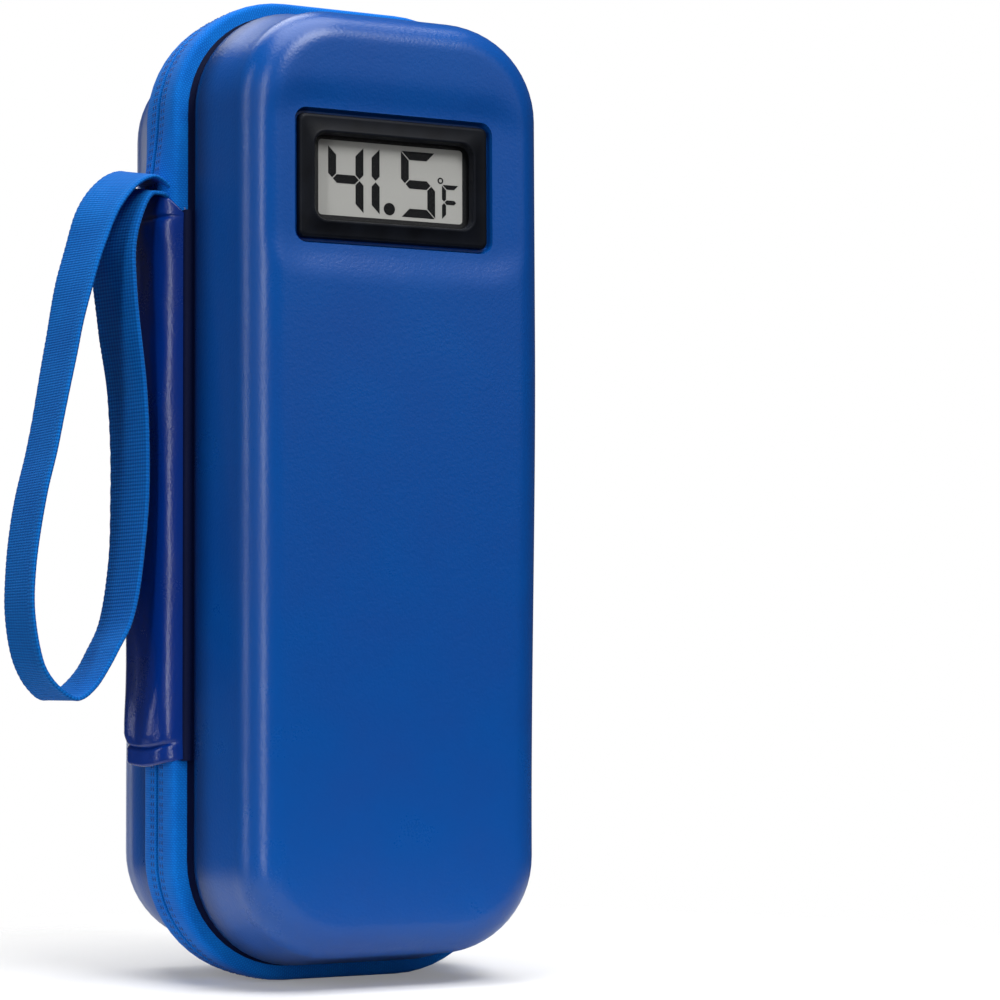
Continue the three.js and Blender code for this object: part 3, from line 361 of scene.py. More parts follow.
# The thread is coloured darker than the zipper tape; that extra darkness is painted shade round the stitches
TAPE_THREAD = new_finish("polyester_sewing_thread_blue", elastic_surface, "#033c82", "#07509e", cloth=True)
COIL_NYLON = new_finish("drawn_nylon_coil_blue", moulded_surface, "#021434", "#082654", roughness=0.45)
FOAM = new_finish("closed_cell_foam_grey", foam_surface, "#1d2024", "#3a3e45")
LINING = new_finish("silver_coated_nylon_lining", lining_surface, "#828a93", "#aeb5bc")
NET = new_finish("knitted_net_black", elastic_surface, "#14161a", "#2b2f36", cloth=True)
ELASTIC = new_finish("woven_elastic_black", elastic_surface, "#101216", "#2a2d34", cloth=True)
BLACK_PLASTIC = new_finish(
    "abs_moulded_black", moulded_surface, "#06080e", "#171b24", roughness=0.46, reflection=0.12)
MASK_BLACK = new_finish("printed_display_border_black", moulded_surface, "#050608", "#0b0c10", roughness=0.5)
GREY_PLASTIC = new_finish("abs_moulded_grey", moulded_surface, "#50555d", "#757b84", roughness=0.45)
NICKEL = new_finish("nickel_plated_zinc", metal_surface, "#9fa3a8", "#d9dbdd", roughness=0.3, brushed_mm=0.3)
CELL_STEEL = new_finish(
    "drawn_steel_cell_can", metal_surface, "#b4b6b8", "#e2e3e4", roughness=0.25, brushed_mm=0.4)
GEL = new_finish("polyethylene_gel_pack_blue", gel_surface, "#0355c4", "#0b6bd6")
DISPLAY_GREY = new_finish("liquid_crystal_reflector_grey", display_surface, "#bcbcb8", "#c6c6c2")
DISPLAY_BLACK = new_finish("liquid_crystal_segment_black", display_surface, "#08090b", "#101114")
LENS = new_finish("clear_acrylic_lens", lens_surface)
BOARD = new_finish("solder_mask_green", board_surface)
RUBBER = new_finish("layered_conductive_rubber", foam_surface, "#26292d", "#44484d")
FLOOR_WHITE = new_finish("matt_white_floor", floor_surface, "#f6f6f7", "#fafafa")


# Lines and outlines

def between(low, high, steps):
    """Evenly spaced values from low to high, both included."""
    return [low + (high - low) * i / steps for i in range(steps + 1)]


def full_turn(steps):
    """Evenly spaced angles round a circle."""
    return between(0, math.tau, steps)[:-1]


def smooth(t):
    """Eased step from 0 to 1."""
    t = min(max(t, 0.0), 1.0)
    return t * t * (3 - 2 * t)


def running(points):
    """Distances from the first point along a line of points."""
    sums = [0.0]
    for a, b in zip(points, points[1:]):
        sums.append(sums[-1] + (Vector(b) - Vector(a)).length)
    return sums


def headings(line):
    """Unit directions along a line of points."""
    last = len(line) - 1
    return [(line[min(i + 1, last)] - line[max(i - 1, 0)]).normalized() for i in range(last + 1)]


def eased_route(points, steps):
    """Smooth line through points, with the spacing of the points taken into account."""
    line = []
    ends = [2 * points[0] - points[1]] + points + [2 * points[-1] - points[-2]]
    for a, b, c, d in zip(ends, ends[1:], ends[2:], ends[3:]):
        t1 = (b - a).length ** 0.5
        t2 = t1 + (c - b).length ** 0.5
        t3 = t2 + (d - c).length ** 0.5
        for i in range(steps):
            t = t1 + (t2 - t1) * i / steps
            ab = a.lerp(b, t / t1)
            bc = b.lerp(c, (t - t1) / (t2 - t1))
            cd = c.lerp(d, (t - t2) / (t3 - t2))
            line.append(ab.lerp(bc, t / t2).lerp(bc.lerp(cd, (t - t1) / (t3 - t1)), (t - t1) / (t2 - t1)))
    return line + [points[-1]]


def circle(radius, steps):
    """Points round a circle about the origin."""
    return [(radius * math.cos(a), radius * math.sin(a)) for a in full_turn(steps)]


def rounded(width, height, corner, steps):
    """Points round a rectangle with rounded corners about the origin."""
    points = []
    for quarter, (side_u, side_v) in enumerate(((1, 1), (-1, 1), (-1, -1), (1, -1))):
        for step in range(steps + 1):
            angle = math.pi / 2 * (quarter + step / steps)
            points.append((side_u * (width / 2 - corner) + corner * math.cos(angle),
                           side_v * (height / 2 - corner) + corner * math.sin(angle)))
    return points


def past_edge(x, z, half_width, half_height, corner):
    """How far a point lies outside a rounded rectangle about the origin, or inside it where negative."""
    dx = abs(x) - (half_width - corner)
    dz = abs(z) - (half_height - corner)
    return math.hypot(max(dx, 0), max(dz, 0)) + min(max(dx, dz), 0) - corner


def outline_gap(x, z):
    """How far inside the case's outline a point of the front view lies."""
    return -past_edge(x, z - HEIGHT / 2, HALF_WIDTH, HEIGHT / 2, CORNER)


def case_ring(inset, y, long_steps=LONG_STEPS):
    """Closed ring round the case, drawn in by an inset, at a depth from the slit. The number of points is the
    same for any inset."""
    half_width, half_height = HALF_WIDTH - inset, HEIGHT / 2 - inset
    radius = min(max(CORNER - inset, 0.5), half_width)
    turns = ((-1, 1, 180), (1, 1, 90), (1, -1, 0), (-1, -1, -90))

    def corner_point(turn, share):
        """Point on a corner, at a share of its quarter turn."""
        side_x, side_z, start = turn
        angle = math.radians(start - 90 * share)
        return Vector((side_x * (half_width - radius) + radius * math.cos(angle), y,
                       HEIGHT / 2 + side_z * (half_height - radius) + radius * math.sin(angle)))

    ring = []
    for i, turn in enumerate(turns):
        ring += [corner_point(turn, step / CORNER_STEPS) for step in range(CORNER_STEPS + 1)]
        end, onward = ring[-1], corner_point(turns[(i + 1) % 4], 0)
        steps = long_steps if i % 2 else SHORT_STEPS
        ring += [end.lerp(onward, step / steps) for step in range(1, steps)]
    return ring


# Skins, as points, faces and each face corner's distances along and across

def loft(rings, caps=True, looped=False):
    """Skin over closed rings with equal counts."""
    count = len(rings[0])
    path = rings + rings[:1] if looped else rings
    far = running([ring[0] for ring in path])
    wide = running(list(rings[0]) + [rings[0][0]])
    points = [p for ring in rings for p in ring]
    faces, corners = [], []
    for i in range(len(path) - 1):
        here, after = i * count, (i + 1) % len(rings) * count
        for j in range(count):
            k = (j + 1) % count
            faces.append((here + j, here + k, after + k, after + j))
            corners.append(((far[i], wide[j]), (far[i], wide[j + 1]),
                            (far[i + 1], wide[j + 1]), (far[i + 1], wide[j])))
    if caps and not looped:
        for first, at in ((0, far[0]), ((len(rings) - 1) * count, far[-1])):
            faces.append(tuple(range(first, first + count)))
            corners.append(tuple((at, w) for w in wide[:count]))
    return points, faces, corners


def merged(shapes):
    """Several skins as one."""
    points, faces, corners = [], [], []
    for shape_points, shape_faces, shape_corners in shapes:
        shift = len(points)
        points += shape_points
        faces += [tuple(i + shift for i in face) for face in shape_faces]
        corners += shape_corners
    return points, faces, corners


def plate_ring(width, height, corner, y, x=MODULE_X, z=MODULE_Z):
    """Rounded rectangle in the front view, at a depth."""
    return [Vector((x + u, y, z + v)) for u, v in rounded(width, height, corner, 6)]


def plate(levels, x=MODULE_X, z=MODULE_Z):
    """Skin over rounded rectangles given as depth, width, height and corner."""
    return loft([plate_ring(w, h, r, y, x, z) for y, w, h, r in levels])


def knob(levels, x, z):
    """Round turned shape along Y from depths and radii."""
    return loft([[Vector((x + u, y, z + v)) for u, v in circle(r, 28)] for y, r in levels])


def tube(line, radius, sides):
    """Round tube along a line."""
    ways = headings(line)
    normal = ways[0].orthogonal()
    rings = []
    for p, way in zip(line, ways):
        normal = (normal - way * normal.dot(way)).normalized()
        across = way.cross(normal)
        rings.append([p + normal * u + across * v for u, v in circle(radius, sides)])
    return loft(rings)


def ribbon(line, width_ways, thick_ways, width, thick):
    """Flat band along a line with eased edges, given its width and thickness directions at each point."""
    half = [(-0.5, 0.3), (-0.46, 0.5), (0.46, 0.5), (0.5, 0.3)]
    section = half + [(-a, -b) for a, b in half]
    return loft([[p + w * (width * a) + t * (thick * b) for a, b in section]
                 for p, w, t in zip(line, width_ways, thick_ways)])


# Pieces

def box_of(node):
    """Middle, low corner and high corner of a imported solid, in millimetres."""
    low, high = (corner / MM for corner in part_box(node))
    return (low + high) / 2, low, high


def put(name, data):
    """Puts an object with this data into the scene."""
    made = bpy.data.objects.new(name, data)
    bpy.context.scene.collection.objects.link(made)
    return made


def show(made, sharp):
    """Smooth shading that keeps edges sharper than an angle in degrees."""
    made.data.shade_smooth()
    made.data.set_sharp_from_angle(angle=math.radians(sharp))
    return made


def make(name, shape, finish, sharp=SHARP_EDGE):
    """A mesh object from a skin, with its faces turned outwards and its cloth distances kept."""
    points, faces, corners = shape
    mesh = bpy.data.meshes.new(name)
    mesh.from_pydata([[c * MM for c in p] for p in points], [], faces)
    layer = mesh.uv_layers.new(name="cloth")
    layer.uv.foreach_set("vector", [c * MM for face in corners for corner in face for c in corner])
    mesh.materials.append(finish)
    turned = bmesh.new()
    turned.from_mesh(mesh)
    bmesh.ops.remove_doubles(turned, verts=turned.verts, dist=1e-7)
    bmesh.ops.recalc_face_normals(turned, faces=turned.faces)
    turned.to_mesh(mesh)
    turned.free()
    return show(put(name, mesh), sharp)


def carve(made, tools, sharp=SHARP_EDGE):
    """Cuts tools out of a piece and drops them."""
    for tool in tools:
        cut = made.modifiers.new("cut", "BOOLEAN")
        cut.object = tool
        cut.operation = "DIFFERENCE"
        cut.solver = "EXACT"
    graph = bpy.context.evaluated_depsgraph_get()
    mesh = bpy.data.meshes.new_from_object(
        made.evaluated_get(graph), preserve_all_data_layers=True, depsgraph=graph)
    made.modifiers.clear()
    made.data = mesh
    for tool in tools:
        bpy.data.objects.remove(tool)
    return show(made, sharp)


def ease_edges(made, width):
    """Rounds the sharp edges of a piece by a width in millimetres."""
    ease = made.modifiers.new("eased_edges", "BEVEL")
    ease.width = width * MM
    ease.segments = 2
    ease.limit_method = "ANGLE"
    ease.angle_limit = math.radians(35)


def settle(made, body, *nodes, slot):
    """Lets a piece ride on a body and stand for solids. The slot is not used."""
    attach(made, body)
    if nodes:
        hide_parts(*nodes)
    return made


def piece(name, shape, finish, body, *nodes, slot, sharp=SHARP_EDGE):
    """Makes a piece and settles it."""
    return settle(make(name, shape, finish, sharp), body, *nodes, slot=slot)


def refinish(node, finish):
    """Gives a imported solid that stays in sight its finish."""
    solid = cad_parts[node]
    solid.data.materials.clear()
    solid.data.materials.append(finish)
    return solid


# Half shells: the soft recess round the display, with the floor that carries the bezel and the opening in it
RECESS_WIDTH, RECESS_HEIGHT, RECESS_CORNER = 50.4, 31.0, 3.0
RECESS_SLOPE, RECESS_DIP = 8.5, 1.1
RECESS_FLOOR = -39.0
OPENING_WIDTH, OPENING_HEIGHT, OPENING_CORNER = 46.6, 27.2, 0.8

# The wall's edge is rolled in under the tape, which leaves the dark crease along the seam
ROLL_START, ROLL_END, ROLL_REACH = 10.6, 15.6, 3.0

# The back half bellies out low down; the front half is drawn in at its ends and out at its sides. Both start a
# little way from the slit and grow over the same run
SHAPED_RUN = 14
BELLY_REACH, BELLY_START = 2.5, 13
BELLY_FULL_HEIGHT, BELLY_FADE = 45, 125
DRAWN_START = 12
DRAWN_TOP, DRAWN_BOTTOM, DRAWN_END_RUN = 0.8, 0.6, 40
BULGE_RIGHT, BULGE_LEFT = 1.6, 0.2


def shell_line(offset, depth, rim):
    """Insets and depths of a half shell's surface at an offset under its leather, from a rim to the face's
    middle."""
    inset = SEAM_INSET + offset
    edge_depth = EDGE_DEPTH - EDGE_SHRINK * offset
    edge_reach = EDGE_REACH - EDGE_SHRINK * offset
    wall_end = depth - offset - edge_depth
    line = [(inset, rim)] if rim < BAND_HALF else []
    line += [(inset + WALL_LEAN * t, BAND_HALF + (wall_end - BAND_HALF) * t) for t in between(0, 1, 8)]
    for t in between(0, math.pi / 2, 14)[1:]:
        line.append((inset + WALL_LEAN + edge_reach * (1 - math.cos(t)), wall_end + edge_depth * math.sin(t)))
    face = inset + WALL_LEAN + edge_reach
    line += [(face + (FACE_MIDDLE - face) * t, depth - offset) for t in between(0, 1, 11)[1:]]
    return line


def tray(line, side, long_steps=LONG_STEPS):
    """Closed tray from a line of insets and depths that runs from one middle over the rim to the other."""
    return loft([case_ring(inset, side * y, long_steps) for inset, y in line], caps=False)


def shell_tray(depth, side, long_steps):
    """Leather-covered half: its inner face, its rolled edge and its outer face."""
    lean = WALL_LEAN / (depth - EDGE_DEPTH - BAND_HALF)
    rolled = []
    for t in (1, 0.99, 0.965, 0.93, 0.88, 0.8, 0.7, 0.58, 0.44, 0.28, 0.12):
        y = ROLL_END - (ROLL_END - ROLL_START) * t
        rolled.append((SEAM_INSET + lean * max(y - BAND_HALF, 0) + ROLL_REACH * (1 - math.sqrt(1 - t * t)), y))
    inner = shell_line(SHELL_WALL, depth, BAND_HALF)[::-1]
    outer = [(inset, y) for inset, y in shell_line(0, depth, BAND_HALF) if y > ROLL_END]
    return tray(inner + rolled + outer, side, long_steps)


def recess_dip(x, z):
    """How deep the soft recess round the display lies under the front face."""
    gap = past_edge(x - MODULE_X, z - MODULE_Z, RECESS_WIDTH / 2, RECESS_HEIGHT / 2, RECESS_CORNER)
    return RECESS_DIP * (1 - smooth(gap / RECESS_SLOPE))


def draw_front(p):
    """Draws a point of the front half in at the top and bottom, and out at the sides, the further it is from
    the seam."""
    away = smooth((-p.y - DRAWN_START) / SHAPED_RUN)
    bottom = DRAWN_BOTTOM * (1 - smooth(p.z / DRAWN_END_RUN))
    p.z += away * (bottom - DRAWN_TOP * smooth((p.z - 180) / DRAWN_END_RUN))
    right = BULGE_RIGHT * smooth(p.x / 30) * smooth((p.z - 30) / 120)
    p.x += away * (right - BULGE_LEFT * smooth(-p.x / 30))


def belly_back(p):
    """Lets a point of the back half belly out sideways, lower down and away from the band."""
    low_down = 1 - smooth((p.z - BELLY_FULL_HEIGHT) / BELLY_FADE)
    reach = BELLY_REACH * low_down * smooth((p.y - BELLY_START) / SHAPED_RUN)
    p.x += math.copysign(reach * smooth(abs(p.x) / 25), p.x)


def build_shells():
    """Both halves, and the well that the leather is pressed into round the display, with a rolled lip."""
    shape = shell_tray(FRONT_DEPTH, -1, FINE_LONG_STEPS)
    for p in shape[0]:
        p.y += recess_dip(p.x, p.z) * smooth((-p.y - 30) / 8)
        draw_front(p)
    front = make("front_shell_leather", shape, SHELL_LEATHER)
    recess = (RECESS_WIDTH, RECESS_HEIGHT, RECESS_CORNER)
    carve(front, [make("opening", plate([(-50, *recess), (-30, *recess)]), SHELL_LEATHER)])
    settle(front, "lid", "front_shell", slot="shell_leather")

    lip, floor_back = -(FRONT_DEPTH - RECESS_DIP), RECESS_FLOOR + SHELL_WALL
    lip_levels = ((lip + 0.5, 1.3), (lip + 0.02, 0.9), (lip - 0.02, 0.45), (lip + 0.12, 0.1),
                  (lip + 0.5, -0.08), (RECESS_FLOOR - 0.4, -0.2), (RECESS_FLOOR, -0.6))
    rings = [plate_ring(RECESS_WIDTH + 2 * grow, RECESS_HEIGHT + 2 * grow, RECESS_CORNER + grow, y)
             for y, grow in lip_levels]
    rings += [plate_ring(OPENING_WIDTH, OPENING_HEIGHT, OPENING_CORNER, y)
              for y in (RECESS_FLOOR, floor_back)]
    rings.append(plate_ring(RECESS_WIDTH + 2.6, RECESS_HEIGHT + 2.6, RECESS_CORNER + 1.3, floor_back))
    piece("display_well_leather", loft(rings, looped=True), SHELL_LEATHER, "lid", slot="shell_leather")

    shape = shell_tray(BACK_DEPTH, 1, LONG_STEPS)
    for p in shape[0]:
        belly_back(p)
    piece("back_shell_leather", shape, SHELL_LEATHER, "base", "back_shell", slot="shell_leather")


def module_tool(margin, y_from, y_to):
    """Block through the module's place, for cutting."""
    size = (BODY_WIDTH + 2 * margin, BODY_HEIGHT + 2 * margin, 0.8)
    return make("module_room", plate([(y_from, *size), (y_to, *size)]), FOAM)


def build_lining():
    """Foam between shell and lining, and the lining that folds over the foam's rim."""
    foam_offset, foam_thick, liner_offset, liner_thick = 2.8, 4.6, 7.8, 0.8
    rim, rim_cover, fold_end = 1.2, 0.42, 5.0
    fold_in, fold_out = SEAM_INSET + liner_offset + liner_thick, SEAM_INSET + foam_offset - 0.3
    fold = [(fold_in - 0.25, rim_cover), (fold_in - 1.5, rim_cover - 0.05), (fold_out + 1.5, rim_cover - 0.05),
            (fold_out + 0.25, rim_cover), (fold_out, rim_cover + 0.25), (fold_out, fold_end),
            (fold_out + 0.25, fold_end), (fold_out + 0.3, rim), (fold_out + 0.8, rim_cover + 0.4)]
    for half, body, depth, side in HALVES:
        inner = shell_line(foam_offset + foam_thick, depth, rim)[::-1]
        foam = make(f"{half}_foam", tray(inner + shell_line(foam_offset, depth, rim), side), FOAM)
        cavity = shell_line(liner_offset + liner_thick, depth, 0.7)[::-1]
        backing = shell_line(liner_offset, depth, 1.0)
        lining = make(f"{half}_lining_cloth", tray(cavity + fold + backing, side), LINING)
        if side < 0:
            # Room round the display's well, then closer round the module's body
            carve(foam, [module_tool(6, -45, -36), module_tool(0.5, -45, 0)])
            carve(lining, [module_tool(0.3, -45, -20)])
        settle(foam, body, f"{half}_insulation", slot="insulation_foam")
        settle(lining, body, f"{half}_liner", slot="lining_cloth")


# Zipper band, whose tapes end a little way under the spine's hems and are pushed out by the upper one
TAPE_TUCK = 6.5
TAPE_FLARE = 1.9
TAPE_HALF, TAPE_DROP, TAPE_SQUARENESS = 9.5, 3.0, 5
STITCH_ROWS = (2.1, 3.5)
STITCH_PITCH, STITCH_LENGTH, STITCH_SINK = 1.75, 1.2, 0.1

# Insets and depths round the leather welt that is sewn into each seam; its near-black colour also paints the
# shade at the bottom of the seam's groove
WELT_LINE = [(3.7, 9.85), (4.8, 10.0), (6.2, 10.35), (7.4, 11.0),
             (7.6, 10.7), (6.3, 10.0), (4.8, 9.65), (3.8, 9.6)]


def band_path(step_mm=3.0):
    """Points with outward directions and distances along, from the spine's top round the case to its bottom."""
    long_steps = round((HEIGHT - 2 * CORNER) / step_mm)
    count = 4 * (CORNER_STEPS + 1) + 2 * (SHORT_STEPS - 1) + long_steps - 1
    rise = [Vector((-HALF_WIDTH, 0, z)) for z in between(SPINE_TOP - TAPE_TUCK, HEIGHT - CORNER, 7)[:-1]]
    fall = [Vector((-HALF_WIDTH, 0, z)) for z in between(CORNER, SPINE_BOTTOM + TAPE_TUCK, 7)[1:]]
    points = rise + case_ring(0, 0, long_steps)[:count] + fall
    path = []
    for p, s in zip(points, running(points)):
        core = Vector((min(max(p.x, CORNER - HALF_WIDTH), HALF_WIDTH - CORNER), 0,
                       min(max(p.z, CORNER), HEIGHT - CORNER)))
        path.append((p, (p - core).normalized(), s))
    return path


BAND = band_path()
BAND_LENGTH = BAND[-1][2]


def on_band(s):
    """Point and outward direction at a distance along the zipper band."""
    for (p, out, at), (q, turn, after) in zip(BAND, BAND[1:]):
        if s <= after:
            t = (s - at) / max(after - at, 1e-9)
            return p.lerp(q, t), out.lerp(turn, t).normalized()
    return BAND[-1][0], BAND[-1][1]


def tape_line():
    """Insets and depths round one tape: slit edge, flat crown, steep shoulder, sewn edge and underside."""
    line = [(1.4, 0.95), (0.9, 0.72), (0.45, 0.66), (0.14, 0.74), (0.02, 1.05), (0.0, 1.5)]
    for row in STITCH_ROWS:
        line += [(0.0, row - 0.45), (0.13, row), (0.0, row + 0.45)]
    for u in (0.45, 0.58, 0.7, 0.79, 0.86, 0.91, 0.945, 0.97, 0.987, 0.997, 1):
        drop = TAPE_DROP * (1 - (1 - u ** TAPE_SQUARENESS) ** (1 / TAPE_SQUARENESS))
        line.append((drop, 1 + (TAPE_HALF - 1) * u))
    line += [(3.8, 9.6), (4.6, 9.7), (4.8, 9.3), (4.0, 9.0)]
    return line + [(2.8, 8.5), (1.8, 7.8), (1.1, 6.6), (1.0, 4.0)]


def flare(s):
    """How far the slit is pushed out where the tapes run in under the spine's top hem."""
    return TAPE_FLARE * (1 - smooth((s - 5) / 22))


def tape_stitch(s, y, side):
    """One stitch: a short thread that rises out of the cloth and dives in again."""
    rings = []
    for t in (-1.0, -0.7, 0.0, 0.7, 1.0):
        p, out = on_band(s + t * STITCH_LENGTH / 2)
        height = 0.16 * (1 - t * t) - 0.1
        thick = 0.21 * math.sqrt(max(1 - t * t, 0.06))
        middle = p + out * (height + flare(s) - STITCH_SINK)
        rings.append([middle + out * v + Vector((0, side * y + 1.25 * u, 0)) for u, v in circle(thick, 5)])
    return loft(rings)


def coil_turns(side):
    """Nylon coil under the tape's slit edge, as one unbroken helix whose loops reach between the other coil's
    loops."""
    pitch, radius, reach, off_slit, deep = 1.35, 0.72, 0.48, 1.3, 2.05
    wire_radius, wire_sides, steps = 0.3, 5, 8
    line = []
    for i in range(int((BAND_LENGTH - 4) / pitch) * steps + 1):
        angle = math.tau * i / steps
        p, out = on_band(2 + pitch * (i / steps + 0.25 * (1 + side)))
        y = off_slit + radius * math.sin(angle) - reach * max(-math.sin(angle), 0)
        line.append(p - out * (deep - radius * math.cos(angle)) + Vector((0, side * y, 0)))
    return tube(line, wire_radius, wire_sides)


def build_zipper():
    """Tapes with two rows of stitches, coils under their slit edges, and welts in the seams beside them."""
    places = [1.5 + STITCH_PITCH * (i + 0.5) for i in range(int((BAND_LENGTH - 3) / STITCH_PITCH))]
    for half, body, _, side in HALVES:
        rings = [[p + out * (flare(at) * (1 - smooth((y - 4) / 5)) - inset) + Vector((0, side * y, 0))
                  for inset, y in tape_line()] for p, out, at in BAND]
        tape = piece(f"zipper_tape_cloth_{half}", loft(rings), TAPE_CLOTH, body, f"zipper_tape_{half}",
                     slot="zipper_tape", sharp=50)
        stitches = [tape_stitch(s, row, side) for row in STITCH_ROWS for s in places]
        threads = piece(f"zipper_stitches_{half}", merged(stitches), TAPE_THREAD, body, slot="zipper_tape")
        # The welt's near-black leather paints the shade in the seam's groove
        rings = [case_ring(inset, side * y) for inset, y in WELT_LINE]
        welt = piece(f"seam_welt_{half}", loft(rings, looped=True), SEAM_SHADE_LEATHER, body, slot="spine_leather")
        piece(f"zipper_coil_turns_{half}", coil_turns(side), COIL_NYLON, body, f"zipper_coil_{half}",
              slot="zipper_coil")


# Spine: heights of the creases where its two hems are sewn, their depths, and the rounding of its ends
HEM_TOP, HEM_BOTTOM = SPINE_TOP - 5.4, SPINE_BOTTOM + 4.2
CREASE_TOP, CREASE_BOTTOM, CREASE_WIDTH = 0.6, 0.7, 0.4
END_ROUND, END_ROUND_LENGTH = 0.45, 0.7


def spine_swell(y, z):
    """Outward swell of the padded spine beyond its plain section: sewn creases, rounded ends, and the fuller,
    folded leather next to the hems, with a slow unevenness all over."""
    share = abs(y) / SPINE_HALF
    swell = 0.0
    for hem, crease in ((HEM_TOP, CREASE_TOP), (HEM_BOTTOM, CREASE_BOTTOM)):
        swell -= crease * math.exp(-((z - hem) / CREASE_WIDTH) ** 2)
    for end in (SPINE_TOP, SPINE_BOTTOM):
        near = abs(z - end)
        if near < END_ROUND_LENGTH:
            swell -= END_ROUND * (1 - near / END_ROUND_LENGTH) ** 2
    above = smooth((z - HEM_BOTTOM) / 3) * (1 - smooth((z - HEM_BOTTOM - 4) / 16))
    below = smooth((HEM_TOP - z) / 3) * (1 - smooth((HEM_TOP - z - 3) / 12))
    swell += 0.45 * above + 0.25 * below
    swell += above * 0.3 * math.sin(y * 0.75 + z * 0.16 + 0.6) + below * 0.16 * math.sin(y * 0.8 - z * 0.2)
    slow = noise.noise(Vector((y * 0.09, z * 0.03, 3.1)))
    quick = noise.noise(Vector((y * 0.3, z * 0.1, 7.7)))
    swell += 0.5 * slow + 0.18 * quick
    return swell * (1 - share ** 8)


def hem_droop(y, z):
    """How far the hems' edges leave a straight line: the upper one falls towards the seams, the lower one
    rises."""
    share = abs(y) / SPINE_HALF
    upper = 0.006 * y * y + 4.0 * share ** 7
    lower = 0.018 * y * y
    in_hem = min(max((z - HEM_TOP) / (SPINE_TOP - HEM_TOP), 0), 1)
    return lower * smooth((72 - z) / 16) - upper * in_hem


def build_spine():
    """Padded leather panel from seam to seam, open at its top hem, where the strap goes in."""
    across = [SPINE_HALF * math.sin(math.pi / 2 * t) for t in between(-1, 1, 52)]
    levels = [SPINE_BOTTOM + t for t in (0, 0.3, 0.7, 1.2)]
    levels += between(SPINE_BOTTOM + 1.8, SPINE_BOTTOM + 8, 18)
    levels += between(SPINE_BOTTOM + 9.5, SPINE_TOP - 9.5, 76)
    levels += between(SPINE_TOP - 8, SPINE_TOP - 1.8, 18) + [SPINE_TOP - t for t in (1.2, 0.7, 0.3, 0)]

    def section(z, draw, drop):
        """Outer and inner skin at a height, each drawn towards the other by a share of the leather."""
        outer, inner = [], []
        for y in across:
            full = 1 - abs(y / SPINE_HALF) ** SPINE_SQUARENESS
            x_out = SPINE_EDGE_X - (SPINE_RISE + SPINE_RISE_SLOPE * y) * full - spine_swell(y, z)
            x_in = SPINE_EDGE_X + SPINE_LEATHER_THICK - SPINE_HOLLOW * full
            wall = min(SPINE_LEATHER_THICK, 0.42 * (x_in - x_out)) * draw
            level = z - drop + hem_droop(y, z)
            outer.append(Vector((x_out + wall, y * (1 - 0.06 * draw), level)))
            inner.append(Vector((x_in - wall, y * (0.99 - 0.06 * draw), level)))
        return outer + inner[::-1]

    rings = [section(z, 0, 0) for z in levels]
    rings += [section(SPINE_TOP, draw, drop) for draw, drop in ((0.6, -0.1), (1, 0.3), (1, 6))]
    pad = piece("spine_leather_pad", loft(rings), SPINE_LEATHER, "spine", "spine_panel", slot="spine_leather",
                sharp=60)


# Wrist strap: distance out from the sewn tab's middle and height above the tab's top, over the outer strand,
# round the bottom and back up the inner strand; the first and last points lie under the spine's top hem
STRAP_ROUTE = [
    (-2.7, -2.8), (-2.6, 0), (-1.6, 2.9), (0.5, 5.1), (3.5, 6.1), (6.5, 5.2), (9.1, 3.5), (11.9, 0.7),
    (15, -3.9), (18, -11.5), (20.6, -19.2), (22.9, -28), (25.9, -42), (29.9, -60.4), (32.4, -69.6),
    (34.2, -78.7), (35.3, -87.7), (35.5, -96.6), (34, -105.6), (32.3, -110), (29.1, -114), (24.6, -116.6),
    (20, -114.3), (16, -110.1), (13.1, -105.6), (9.6, -99.3), (6.8, -85.8), (5.6, -65.4), (6.5, -45.1),
    (8.6, -31.5), (10, -20.5), (10.5, -14), (10.1, -9.5), (8.7, -4.6), (7.2, -0.9), (5.9, 1.1), (4.5, 2.1),
    (3, 2.2), (0.8, 1.8), (-0.8, 0.4), (-2.0, -2.5),
]
# Turn of the webbing about its own length in degrees, from the outer strand's root (-1) to the inner one's (1)
STRAP_TWISTS = [
    (-1, -6.6), (-0.94, -11), (-0.85, -9), (-0.7, -2), (-0.58, 3), (-0.43, 6), (-0.3, 6), (-0.16, 8),
    (-0.05, 7), (0.05, 0), (0.13, -6), (0.3, -3.5), (0.43, 0.5), (0.58, 1.5), (0.7, 4.5), (0.85, 9),
    (0.94, 11), (1, 6.6),
]
# Near its roots the webbing is shifted towards the front and squeezed narrower
ROOT_SHIFT, ROOT_SHIFT_LENGTH = 1.6, 14.0
ROOT_TAPER, ROOT_TAPER_LENGTH = 0.16, 6.5
# Loops of the cross thread along the two woven edges
SELVAGE_PITCH, SELVAGE_FRONT, SELVAGE_BACK = 1.45, 0.22, 0.08
STRAP_OUT = Vector((-math.cos(STRAP_TURN), -math.sin(STRAP_TURN), 0))
STRAP_SIDE = Vector((-math.sin(STRAP_TURN), math.cos(STRAP_TURN), 0))


def strap_spot(out, up):
    """Point on the strap's middle plane."""
    return STRAP_ANCHOR + STRAP_OUT * out + Vector((0, 0, up))


def strap_twist(share):
    """Turn of the webbing, in radians, at a share of its length from -1 to 1."""
    for (low, turn), (high, onward) in zip(STRAP_TWISTS, STRAP_TWISTS[1:]):
        if share <= high:
            return math.radians(turn + (onward - turn) * smooth((share - low) / (high - low)))
    return math.radians(STRAP_TWISTS[-1][1])


